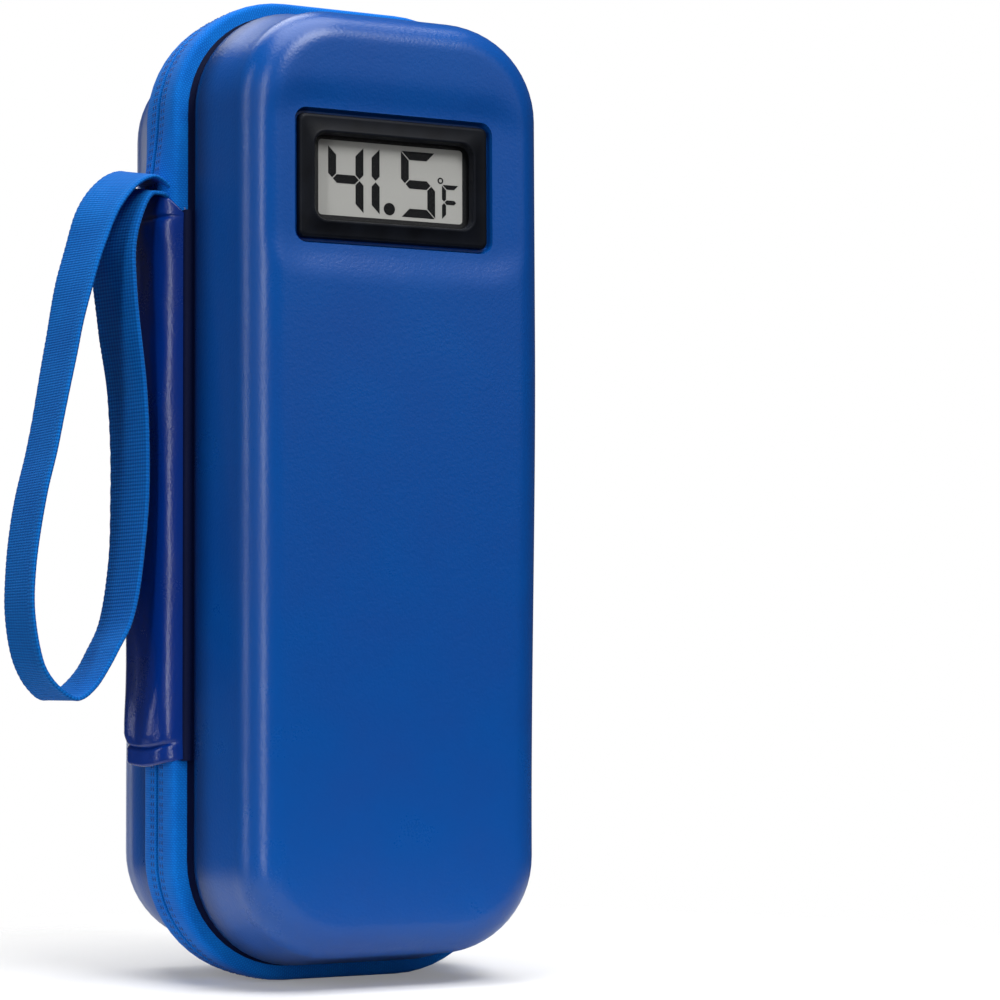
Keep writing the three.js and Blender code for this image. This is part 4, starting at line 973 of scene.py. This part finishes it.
def build_strap():
    """Webbing loop, thinner in the middle than at its woven edges, that bends where it leaves the spine."""
    line = eased_route([strap_spot(out, up) for out, up in STRAP_ROUTE], 20)
    along = running(line)
    half, edge = STRAP_WIDTH / 2, STRAP_THICK / 2
    section = [(0.35 * edge, half), (0.85 * edge, half - 0.2), (edge, half - 0.6), (0.94 * edge, half - 1.3)]
    section += [(0.88 * edge, v) for v in between(half - 2.2, -half + 2.2, 5)]
    section += [(out, -side) for out, side in section[3::-1]]
    section += [(-out, side) for out, side in section[::-1]]
    rings = []
    for p, way, s in zip(line, headings(line), along):
        side_way = Matrix.Rotation(strap_twist(2 * s / along[-1] - 1), 3, way) @ STRAP_SIDE
        face = way.cross(side_way).normalized()
        from_root = min(s, along[-1] - s)
        middle = p - Vector((0, ROOT_SHIFT * (1 - smooth(from_root / ROOT_SHIFT_LENGTH)), 0))
        narrow = 1 - ROOT_TAPER * (1 - smooth(from_root / ROOT_TAPER_LENGTH))
        loops = abs(math.sin(math.pi * s / SELVAGE_PITCH))
        ring = []
        for out, side in section:
            swell = (SELVAGE_FRONT if side > 0 else SELVAGE_BACK) * loops * (abs(side) > half - 0.3)
            ring.append(middle + face * out + side_way * (narrow * side + swell))
        rings.append(ring)
    strap = make("wrist_strap_webbing", loft(rings), WEBBING, 60)
    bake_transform(strap)
    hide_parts("strap_root", "wrist_strap")


# Leather strips inside the two folds, from under the spine's edge into a half's seam, as x and distance from
# the slit, and their thickness
FOLD_LINE = [(-42.2, 4.6), (-42.1, 6.8), (-41.6, 8.4), (-41.0, 9.6), (-40.5, 10.5), (-39.7, 10.95),
             (-38.6, 10.95), (-37.7, 11.4), (-37.5, 12.4), (-37.5, 13.6)]
FOLD_THICK = 0.7


def build_fold_strips():
    """Strips that join the spine's edges to the halves, curved through the folds."""
    low, high = SPINE_BOTTOM + 1.5, SPINE_TOP - 4
    for half, body, _, side in HALVES:
        line = eased_route([Vector((x, side * y, (low + high) / 2)) for x, y in FOLD_LINE], 5)
        faces = [Vector((way.y, -way.x, 0)) for way in headings(line)]
        strip = make(f"spine_fold_strip_{half}", ribbon(line, [UP] * len(line), faces, high - low, FOLD_THICK),
                     SEAM_SHADE_LEATHER)
        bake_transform(strip)


# Sliders and pull tabs: the slider's bridge, as its section and its place from the middle of the case's height
BRIDGE_SECTION = ((0.35, -1.2), (0.35, 1.2), (0.2, 1.5), (-0.35, 1.5), (-0.35, -1.5), (0.2, -1.5))
BRIDGE_OFF_MIDDLE, BRIDGE_HALF = 8.8, 2.15


def side_plate(levels, z, long_end):
    """Rounded plate on the right side, as distance out, width, length and corner, with one end narrower."""
    return loft([[Vector((x, y * (1 - 0.2 * smooth(long_end * dz / length + 0.5)), z + dz))
                  for y, dz in rounded(width, length, corner, 5)] for x, width, length, corner in levels])


def build_slider(place, way):
    """Slider with its two plates, post and bridge, and the pull tab with an eye and a grip hole."""
    middle, low, high = box_of(f"slider_{place}")
    face = HALF_WIDTH + 0.35
    top = side_plate([(face, 7.0, 11.2, 2.2), (face + 0.25, 8, 12, 2.6), (face + 0.95, 8, 12, 2.6),
                      (face + 1.3, 7.4, 11.4, 2.4), (face + 1.5, 6.4, 10.4, 2.0)], middle.z, way)
    under = side_plate([(low.x, 5.6, 9.6, 1.8), (low.x + 0.25, 7, 11, 2.4), (low.x + 1.0, 7, 11, 2.4),
                        (low.x + 1.2, 6.4, 10.4, 2.0)], middle.z, way)
    post = side_plate([(low.x + 0.6, 0.6, 6, 0.28), (face + 1.0, 0.6, 6, 0.28)], middle.z, way)
    rise, bridge_z = high.x - face - 1.5, HEIGHT / 2 + way * BRIDGE_OFF_MIDDLE
    arch = [Vector((face + 1.2 + rise * (1 - abs(t) ** 3.5), 0, bridge_z + BRIDGE_HALF * t))
            for t in between(-1, 1, 16)]
    bridge = loft([[p + Vector((run.z * d - 0.35, side, -run.x * d)) for d, side in BRIDGE_SECTION]
                   for p, run in zip(arch, headings(arch))])
    piece(f"slider_body_{place}", merged([top, under, post, bridge]), NICKEL, f"slider_{place}",
          f"slider_{place}", slot="plated_metal")

    middle, low, high = box_of(f"pull_tab_{place}")
    length = high.z - low.z
    tab_levels = [(low.x, 5.9, length - 0.6, 1.2), (low.x + 0.2, 6.6, length, 1.5),
                  (high.x - 0.2, 6.6, length, 1.5), (high.x, 5.9, length - 0.6, 1.2)]
    tab = make(f"pull_tab_plate_{place}", side_plate(tab_levels, middle.z, -1), NICKEL)
    holes = []
    eye, grip = (4.0, 3.7, 0.9), (2.6, 5.0, 1.2)
    for name, z, size in (("eye", high.z - 1.0 - 1.85, eye), ("grip", low.z + 4.2, grip)):
        holes.append(make(name, side_plate([(middle.x - 2, *size), (middle.x + 2, *size)], z, 1), NICKEL))
    carve(tab, holes)
    ease_edges(tab, 0.12)
    settle(tab, f"pull_{place}", f"pull_tab_{place}", slot="plated_metal")


# Thermometer: the shown field of the display and the front of its glass
DISPLAY_X, DISPLAY_Z = MODULE_X + 0.4, MODULE_Z + 0.3
DISPLAY_WIDTH, DISPLAY_HEIGHT = 36.9, 17.4
DISPLAY_FRONT = -37.8
GLASS_WIDTH, GLASS_HEIGHT, GLASS_THICK = 42.0, 22.6, 1.6


def build_housing():
    """Bezel and body in one moulding: flange, eased edge, flat face, raised window lip and the box behind."""
    face, back, deep = BEZEL_FACE, BEZEL_FACE + 1.8, -27.5
    rings = [plate_ring(w, h, r, y) for y, w, h, r in (
        (back, BEZEL_WIDTH, BEZEL_HEIGHT, 1.6), (face + 1.0, BEZEL_WIDTH, BEZEL_HEIGHT, 1.6),
        (face + 0.55, 47.8, 28.4, 1.5), (face + 0.2, 47.35, 27.95, 1.4), (face + 0.03, 46.7, 27.3, 1.2),
        (face, BODY_WIDTH, BODY_HEIGHT, 1.0), (face, 42.1, 21.8, 3.6), (face - 0.12, 41.7, 21.4, 3.5),
        (face - 0.16, 41.2, 20.9, 3.3), (face - 0.08, 40.7, 20.4, 3.2), (face + 0.25, 40.3, 20.0, 3.0),
        (back, 39.8, 19.5, 2.8), (back + 0.02, 43.6, 24.2, 0.6), (deep, 43.6, 24.2, 0.6),
        (deep, BODY_WIDTH, BODY_HEIGHT, 1.0), (back + 0.01, BODY_WIDTH, BODY_HEIGHT, 1.0))]
    piece("thermometer_housing", loft(rings, looped=True), BLACK_PLASTIC, "lid", "thermometer_bezel",
          slot="black_plastic", sharp=30)


def digit(marks, left, low, width, height, thick):
    """Outlines of a seven-segment figure's lit bars, named a to g clockwise from the top, with g in the middle.
    The outer bars are mitred at the figure's corners."""
    half, gap = thick / 2, 0.18
    right, top, middle = left + width, low + height, low + height / 2
    inner_left, inner_right = left + thick + gap, right - thick - gap
    across = [(left + gap, top), (right - gap, top), (inner_right, top - thick), (inner_left, top - thick)]
    upright = [(left, top - gap), (left + thick, top - thick - gap), (left + thick, middle + half + gap),
               (left + half, middle + gap), (left, middle + half + gap)]
    bar = [(left + half + gap, middle), (inner_left, middle + half), (inner_right, middle + half),
           (right - half - gap, middle), (inner_right, middle - half), (inner_left, middle - half)]
    bars = {"a": (across, False, False), "b": (upright, True, False), "c": (upright, True, True),
            "d": (across, False, True), "e": (upright, False, True), "f": (upright, False, False),
            "g": (bar, False, False)}
    outlines = []
    for mark in marks:
        points, mirrored, upended = bars[mark]
        outlines.append([(left + right - x if mirrored else x, 2 * middle - z if upended else z)
                         for x, z in points])
    return outlines


def build_display():
    """Glass cell, printed border, and the figures 41.5 with a degree sign and an F as raised segments."""
    front, back = DISPLAY_FRONT, DISPLAY_FRONT + GLASS_THICK
    whole, eased = (GLASS_WIDTH, GLASS_HEIGHT, 0.5), (GLASS_WIDTH - 0.4, GLASS_HEIGHT - 0.4, 0.4)
    cell = plate([(front, *eased), (front + 0.15, *whole), (back - 0.15, *whole), (back, *eased)])
    piece("display_cell", cell, DISPLAY_GREY, "lid", "lcd_panel", slot="lcd_glass", sharp=30)
    border = [plate_ring(*whole, y) for y in (front - 0.02, front - 0.12)]
    border += [plate_ring(DISPLAY_WIDTH, DISPLAY_HEIGHT, 0.9, y, DISPLAY_X, DISPLAY_Z)
               for y in (front - 0.12, front - 0.02)]
    piece("display_border", loft(border, looped=True), MASK_BLACK, "lid", slot="black_plastic")

    left, low = DISPLAY_X - DISPLAY_WIDTH / 2, DISPLAY_Z - DISPLAY_HEIGHT / 2
    thick, height, base = 2.0, 15.4, low + 0.85
    figures = digit("bcfg", left + 2.5, base, 8.9, height, thick)
    figures += digit("bc", left + 6.6, base, 8.9, height, thick)
    figures += digit("acdfg", left + 21.0, base, 8.8, height, thick)
    figures.append([(left + 18.0 + u, base + 1.55 + v) for u, v in circle(1.45, 20)])
    figures += digit("aefg", left + 31.6, base, 4.4, 8.2, 1.05)
    sunk, raised = front + 0.02, front - 0.05
    shapes = [loft([[Vector((x, y, z)) for x, z in outline] for y in (sunk, raised)]) for outline in figures]
    degree = [[Vector((left + 31.2 + u, y, base + 9.1 + v)) for u, v in circle(radius, 20)]
              for radius, y in ((0.75, sunk), (0.75, raised), (0.42, raised), (0.42, sunk))]
    shapes.append(loft(degree, looped=True))
    piece("display_segments", merged(shapes), DISPLAY_BLACK, "lid", slot="lcd_glass")
    refinish("display_lens", LENS)


def build_module_back():
    """Door with finger ridges, domed unit button, sensor bead and cross-slot screws on the module's back."""
    middle, low, high = box_of("battery_door")
    width, height = high.x - low.x, high.z - low.z
    door = [plate([(low.y, width - 0.3, height - 0.3, 0.8), (low.y + 0.2, width, height, 1.0),
                   (high.y - 0.25, width, height, 1.0), (high.y, width - 0.5, height - 0.5, 0.8)],
                  middle.x, middle.z)]
    for i in range(5):
        door.append(plate([(high.y - 0.1, 7.0, 0.9, 0.4), (high.y + 0.22, 6.6, 0.5, 0.24)],
                          middle.x, low.z + 2.2 + 1.3 * i))
    piece("battery_door_plate", merged(door), BLACK_PLASTIC, "lid", "battery_door", slot="black_plastic")

    middle, low, high = box_of("unit_button")
    cap = knob([(low.y, 2.7), (low.y + 0.7, 2.7), (low.y + 0.72, 2.1), (high.y - 0.45, 2.1),
                (high.y - 0.15, 1.9), (high.y, 1.5), (high.y - 0.12, 0.9), (high.y - 0.2, 0.3)],
               middle.x, middle.z)
    piece("unit_button_cap", cap, GREY_PLASTIC, "unit_button", "unit_button", slot="button_plastic")

    middle, low, high = box_of("temperature_sensor")
    bead = knob([(low.y, 0.8), (high.y - 2.9, 0.8), (high.y - 2.9, 1.6), (high.y - 0.7, 1.6),
                 (high.y - 0.3, 1.4), (high.y - 0.08, 0.9), (high.y, 0.3)], middle.x, middle.z)
    piece("sensor_bead", bead, BLACK_PLASTIC, "lid", "temperature_sensor", slot="black_plastic")

    for place in ("left", "right"):
        middle, low, high = box_of(f"cover_screw_{place}")
        head = make(f"cover_screw_head_{place}", knob([
            (low.y, 0.4), (low.y + 0.5, 0.7), (high.y - 0.8, 0.7), (high.y - 0.8, 1.45), (high.y - 0.5, 1.5),
            (high.y - 0.2, 1.3), (high.y, 0.8)], middle.x, middle.z), NICKEL)
        slots = []
        for size in ((1.9, 0.42, 0.1), (0.42, 1.9, 0.1)):
            levels = [(high.y - 0.45, *size), (high.y + 0.5, *size)]
            slots.append(make("slot", plate(levels, middle.x, middle.z), NICKEL))
        carve(head, slots, 30)
        settle(head, "lid", f"cover_screw_{place}", slot="plated_metal")

    finishes = {"rear_cover": BLACK_PLASTIC, "display_connector": RUBBER, "circuit_board": BOARD,
                "battery_contact_left": NICKEL, "battery_contact_right": NICKEL, "button_switch": NICKEL,
                "button_cell_left": CELL_STEEL, "button_cell_right": CELL_STEEL}
    for node, finish in finishes.items():
        ease_edges(refinish(node, finish), 0.18)


# Contents

def gel_pack(node):
    """Capsule-shaped pack with a slight waist, crowned faces and a thin weld line round its middle."""
    centre, low, high = box_of(node)
    width, length, thick = high.x - low.x, high.z - low.z, high.y - low.y
    half, edge, shoulder, waist = thick / 2, 7.0, 0.88, 1.2
    levels = [(-0.7, 0.18), (0.05, 0.42)]
    for t in between(0, 90, 9)[1:]:
        a = math.radians(t)
        levels.append((edge * (1 - math.cos(a)), shoulder * half * math.sin(a)))
    for t in between(0, 1, 9)[1:]:
        levels.append((edge + (width / 2 - 0.6 - edge) * t, half * (1 - (1 - shoulder) * (1 - t) ** 2)))
    straight = (length - width) / 2
    rings = []
    for draw, y in [(d, -y) for d, y in levels[::-1]] + levels:
        corner = max(width / 2 - draw, 0.4)
        ring = []
        for sign, start in ((1, 0), (-1, math.pi)):
            for a in between(start, start + math.pi, 16):
                ring.append((corner * math.cos(a), sign * straight + corner * math.sin(a)))
            for t in between(0, 1, 12)[1:-1]:
                pinch = waist * math.sin(math.pi * t) ** 2 * corner / (width / 2)
                ring.append((-sign * (corner - pinch), sign * straight * (1 - 2 * t)))
        rings.append([centre + Vector((u, y, v)) for u, v in ring])
    return loft(rings)


def build_gel_packs():
    """One pack in each half."""
    for half, body, _, _ in HALVES:
        pack = piece(f"gel_pack_film_{half}", gel_pack(f"gel_pack_{half}"), GEL, body, f"gel_pack_{half}",
                     slot="gel_plastic", sharp=60)


def pocket_outline(inset, top, steps):
    """Points down the left side of a pocket, along its bottom and up its right side."""
    ring = case_ring(inset, 0, steps)
    lower = [p for p in ring if p.z < top - 0.5]
    start = max(range(len(lower)), key=lambda i: (lower[i].x < 0) * 1e3 + lower[i].z)
    ordered = lower[start:] + lower[:start]
    if ordered[1].x > 0 or ordered[1].z > ordered[0].z:
        ordered = [ordered[0]] + ordered[:0:-1]
    return [Vector((ordered[0].x, 0, top))] + ordered + [Vector((ordered[-1].x, 0, top))]


def pocket_border(outline, y, width, thick):
    """Sewn border that lies inside a pocket's outline."""
    core = Vector((0, 0, 80))
    line, inward = [], []
    for p, way in zip(outline, headings(outline)):
        side = Vector((-way.z, 0, way.x))
        if side.dot(core - p) < 0:
            side = -side
        line.append(Vector((p.x, y, p.z)) + side * (width / 2))
        inward.append(side)
    return ribbon(line, inward, [DEEP] * len(line), width, thick)


def pocket_edge(low, high, y, z, width, thick):
    """Straight band across a pocket's top."""
    line = [Vector((x, y, z)) for x in between(low.x, high.x, 24)]
    return ribbon(line, [UP] * len(line), [DEEP] * len(line), width, thick)


def net_mesh(inset, top, y):
    """Knitted net inside an inset from the case's outline: strands round six-sided holes."""
    pitch, strand, start = 3.4, 0.75, 90
    size = pitch / math.sqrt(3)
    knit = bmesh.new()
    corners = {}
    for row in range(-60, 61):
        for column in range(-30, 31):
            x, z = pitch * (column + 0.5 * (row % 2)), start + 1.5 * size * row
            spots = [(x + v, z + u) for u, v in circle(size, 6)]
            if any(outline_gap(*spot) < inset + 1.5 or spot[1] > top - 2 for spot in spots):
                continue
            keys = [(round(sx * 20), round(sz * 20)) for sx, sz in spots]
            for key, (sx, sz) in zip(keys, spots):
                if key not in corners:
                    corners[key] = knit.verts.new((sx * MM, y * MM, sz * MM))
            knit.faces.new([corners[key] for key in keys])
    bmesh.ops.wireframe(knit, faces=knit.faces[:], thickness=strand * MM, use_replace=True, use_boundary=True,
                        use_even_offset=True)
    mesh = bpy.data.meshes.new("net_pocket_mesh")
    knit.to_mesh(mesh)
    knit.free()
    mesh.uv_layers.new(name="cloth")
    mesh.materials.append(NET)
    return mesh


def build_net_pocket():
    """Net over the front gel pack, with a sewn border and an elastic top edge."""
    centre, low, high = box_of("net_pocket")
    inset, top, y = outline_gap(low.x, 100.0), high.z, centre.y
    net = show(put("net_pocket_mesh", net_mesh(inset, top, y)), 60)
    settle(net, "lid", "net_pocket", slot="net_cloth")
    border = piece("net_pocket_border", pocket_border(pocket_outline(inset, top, 60), y, 4.0, 0.9), ELASTIC,
                   "lid", slot="elastic")
    band = piece("net_pocket_elastic", pocket_edge(low, high, y, top - 2.2, 5.0, 1.3), ELASTIC, "lid",
                 slot="elastic")


def build_pocket_panel():
    """Lining-cloth panel over the back gel pack, pressed forward a little by it, with a bound top edge."""
    centre, low, high = box_of("pocket_panel")
    inset, top = outline_gap(low.x, 100.0), high.z
    press, half_thick = 0.45, Vector((0, 0.3, 0))
    rings = []
    for z in between(low.z, top, 60):
        half = max(x for x in between(0, 31, 620) if outline_gap(x, z) >= inset - 0.01 or x < 0.01)
        row = []
        for t in between(-1, 1, 24):
            forward = press * (1 - t * t) * smooth((z - low.z) / 20) * smooth((top - z) / 10)
            row.append(Vector((t * half, centre.y - forward, z)))
        rings.append([p - half_thick for p in row] + [p + half_thick for p in row[::-1]])
    panel = piece("pocket_panel_cloth", loft(rings), LINING, "base", "pocket_panel", slot="lining_cloth",
                  sharp=60)
    bound = piece("pocket_panel_binding", pocket_edge(low, high, centre.y, top - 1.8, 4.2, 1.1), ELASTIC,
                  "base", slot="elastic")


def bar_stitch(x, y, z):
    """One upright stitch of a bar: a short thread with pointed ends."""
    rings = []
    for t in (-1, -0.6, 0, 0.6, 1):
        thick = math.sqrt(max(1 - t * t, 0.05))
        rings.append([Vector((x + 0.22 * u, y - 0.16 * v, z + 0.65 * t)) for u, v in circle(thick, 6)])
    return loft(rings)


def build_pen_loops():
    """Woven elastic sewn flat to the panel between its loops, with a bar of stitches beside each loop."""
    radius, spacing, width, thick = 9.0, 24.0, 18.0, 0.9
    for place in ("lower", "upper"):
        centre, low, high = box_of(f"pen_loop_{place}")
        base = high.y - 0.5
        flat = between(low.x, -spacing / 2 - radius, 3)[:-1]
        line = [Vector((x, base, centre.z)) for x in flat]
        for side in (-1, 1):
            line += [Vector((side * spacing / 2 - radius * math.cos(a), base - radius * math.sin(a), centre.z))
                     for a in between(0, math.pi, 22)]
            if side < 0:
                flat = between(-spacing / 2 + radius, spacing / 2 - radius, 4)[1:-1]
            else:
                flat = between(spacing / 2 + radius, high.x, 3)[1:]
            line += [Vector((x, base, centre.z)) for x in flat]
        out = [Vector((way.y, -way.x, 0)) for way in headings(line)]
        loops = piece(f"pen_loop_elastic_{place}", ribbon(line, [UP] * len(line), out, width, thick), ELASTIC,
                      "base", f"pen_loop_{place}", slot="elastic", sharp=50)
        stitches = [bar_stitch(x, base - thick / 2, z) for x in (low.x + 1.2, 0.0, high.x - 1.2)
                    for z in between(low.z + 1.2, high.z - 1.2, 9)]
        threads = piece(f"pen_loop_stitches_{place}", merged(stitches), TAPE_THREAD, "base", slot="elastic")


build_shells()
build_lining()
build_zipper()
build_spine()
build_strap()
build_fold_strips()
build_slider("upper", 1)
build_slider("lower", -1)
build_housing()
build_display()
build_module_back()
build_gel_packs()
build_net_pocket()
build_pocket_panel()
build_pen_loops()


# Floor, light and camera: the point that the lights look at, in metres, and the way to the patch behind
LIT_POINT = Vector((0, 0, 0.12))
PATCH_WAY = (0.087, 0.996, 0.0)


def build_floor():
    """Wide floor just under the case."""
    reach, level = 900, -0.15
    points = [(-reach, -reach, level), (reach, -reach, level), (reach, reach, level), (-reach, reach, level)]
    floor = make("studio_floor", (points, [(0, 1, 2, 3)], [((0, 0), (1, 0), (1, 1), (0, 1))]), FLOOR_WHITE)


def softbox(name, azimuth, elevation, distance, width, height, watts, gloss=True, diffuse=True):
    """Rectangular soft light that looks at the case. Azimuth 0 is in front of the display, 90 on the right."""
    light = bpy.data.lights.new(name, "AREA")
    light.shape = "RECTANGLE"
    light.size = width
    light.size_y = height
    light.energy = watts
    lamp = put(name, light)
    a, e = math.radians(azimuth), math.radians(elevation)
    back = Vector((math.sin(a) * math.cos(e), -math.cos(a) * math.cos(e), math.sin(e)))
    lamp.location = LIT_POINT + back * distance
    lamp.rotation_mode = "QUATERNION"
    lamp.rotation_quaternion = (-back).to_track_quat("-Z", "Y")
    lamp.visible_diffuse = diffuse
    lamp.visible_glossy = gloss


def build_light():
    """White backdrop that the camera sees, a dim room with a bright patch behind the case, and soft lights."""
    world = bpy.data.worlds.new("white_studio")
    world.use_nodes = True
    tree = world.node_tree
    tree.nodes.clear()
    around = add(tree, "TexCoord").outputs["Generated"]
    behind = add(tree, "VectorMath", {0: around, 1: PATCH_WAY}, operation="DOT_PRODUCT")
    patch = add(tree, "MapRange", {
        "Value": behind.outputs["Value"], "From Min": 0.945, "From Max": 0.99, "To Min": 0.06, "To Max": 1.2},
        interpolation_type="SMOOTHSTEP")
    room = add(tree, "Background", {"Color": linear("#ffffff"), "Strength": patch})
    backdrop = add(tree, "Background", {"Color": linear("#ffffff"), "Strength": 1.0})
    seen = add(tree, "LightPath").outputs["Is Camera Ray"]
    mixed = add(tree, "MixShader", {0: seen, 1: room, 2: backdrop})
    add(tree, "OutputWorld", {"Surface": mixed})
    bpy.context.scene.world = world
    softbox("key_front", 8, 46, 1.7, 0.8, 0.6, 18)
    softbox("fill_left", -75, 14, 1.6, 0.8, 0.8, 3.5, gloss=False)
    softbox("panel_front_right", 28, 24, 1.5, 1.0, 0.9, 1.25)
    softbox("overhead", -20, 82, 1.6, 1.4, 1.4, 26)
    softbox("strip_front_left", -55, 12, 1.5, 0.16, 1.3, 6.5)
    softbox("strip_left", -109, 12, 1.5, 0.1, 1.3, 3.2, diffuse=False)
    softbox("back_fill", 180, 52, 1.7, 0.8, 0.8, 6)


def build_camera():
    """Camera of the photograph: 27.6 degrees round to the left, low and looking slightly up."""
    yaw, pitch, roll = math.radians(27.595), math.radians(3.391), math.radians(-0.268)
    target, distance, focal_pixels, frame_pixels = Vector((47.23, 0, 114.80)), 736.9, 2961.9, 1000
    ahead = Vector((math.sin(yaw) * math.cos(pitch), math.cos(yaw) * math.cos(pitch), math.sin(pitch)))
    right = Vector((math.cos(yaw), -math.sin(yaw), 0))
    up = right.cross(ahead)
    right, up = right * math.cos(roll) + up * math.sin(roll), up * math.cos(roll) - right * math.sin(roll)
    data = bpy.data.cameras.new("photo_camera")
    data.sensor_width = 36
    data.lens = focal_pixels / frame_pixels * data.sensor_width
    data.clip_start, data.clip_end = 0.01, 50
    camera = put("photo_camera", data)
    turned = Matrix((right, up, -ahead)).transposed().to_4x4()
    turned.translation = (target - ahead * distance) * MM
    camera.matrix_world = turned
    bpy.context.scene.camera = camera


build_floor()
build_light()
build_camera()
bpy.context.scene.view_settings.view_transform = "Standard"
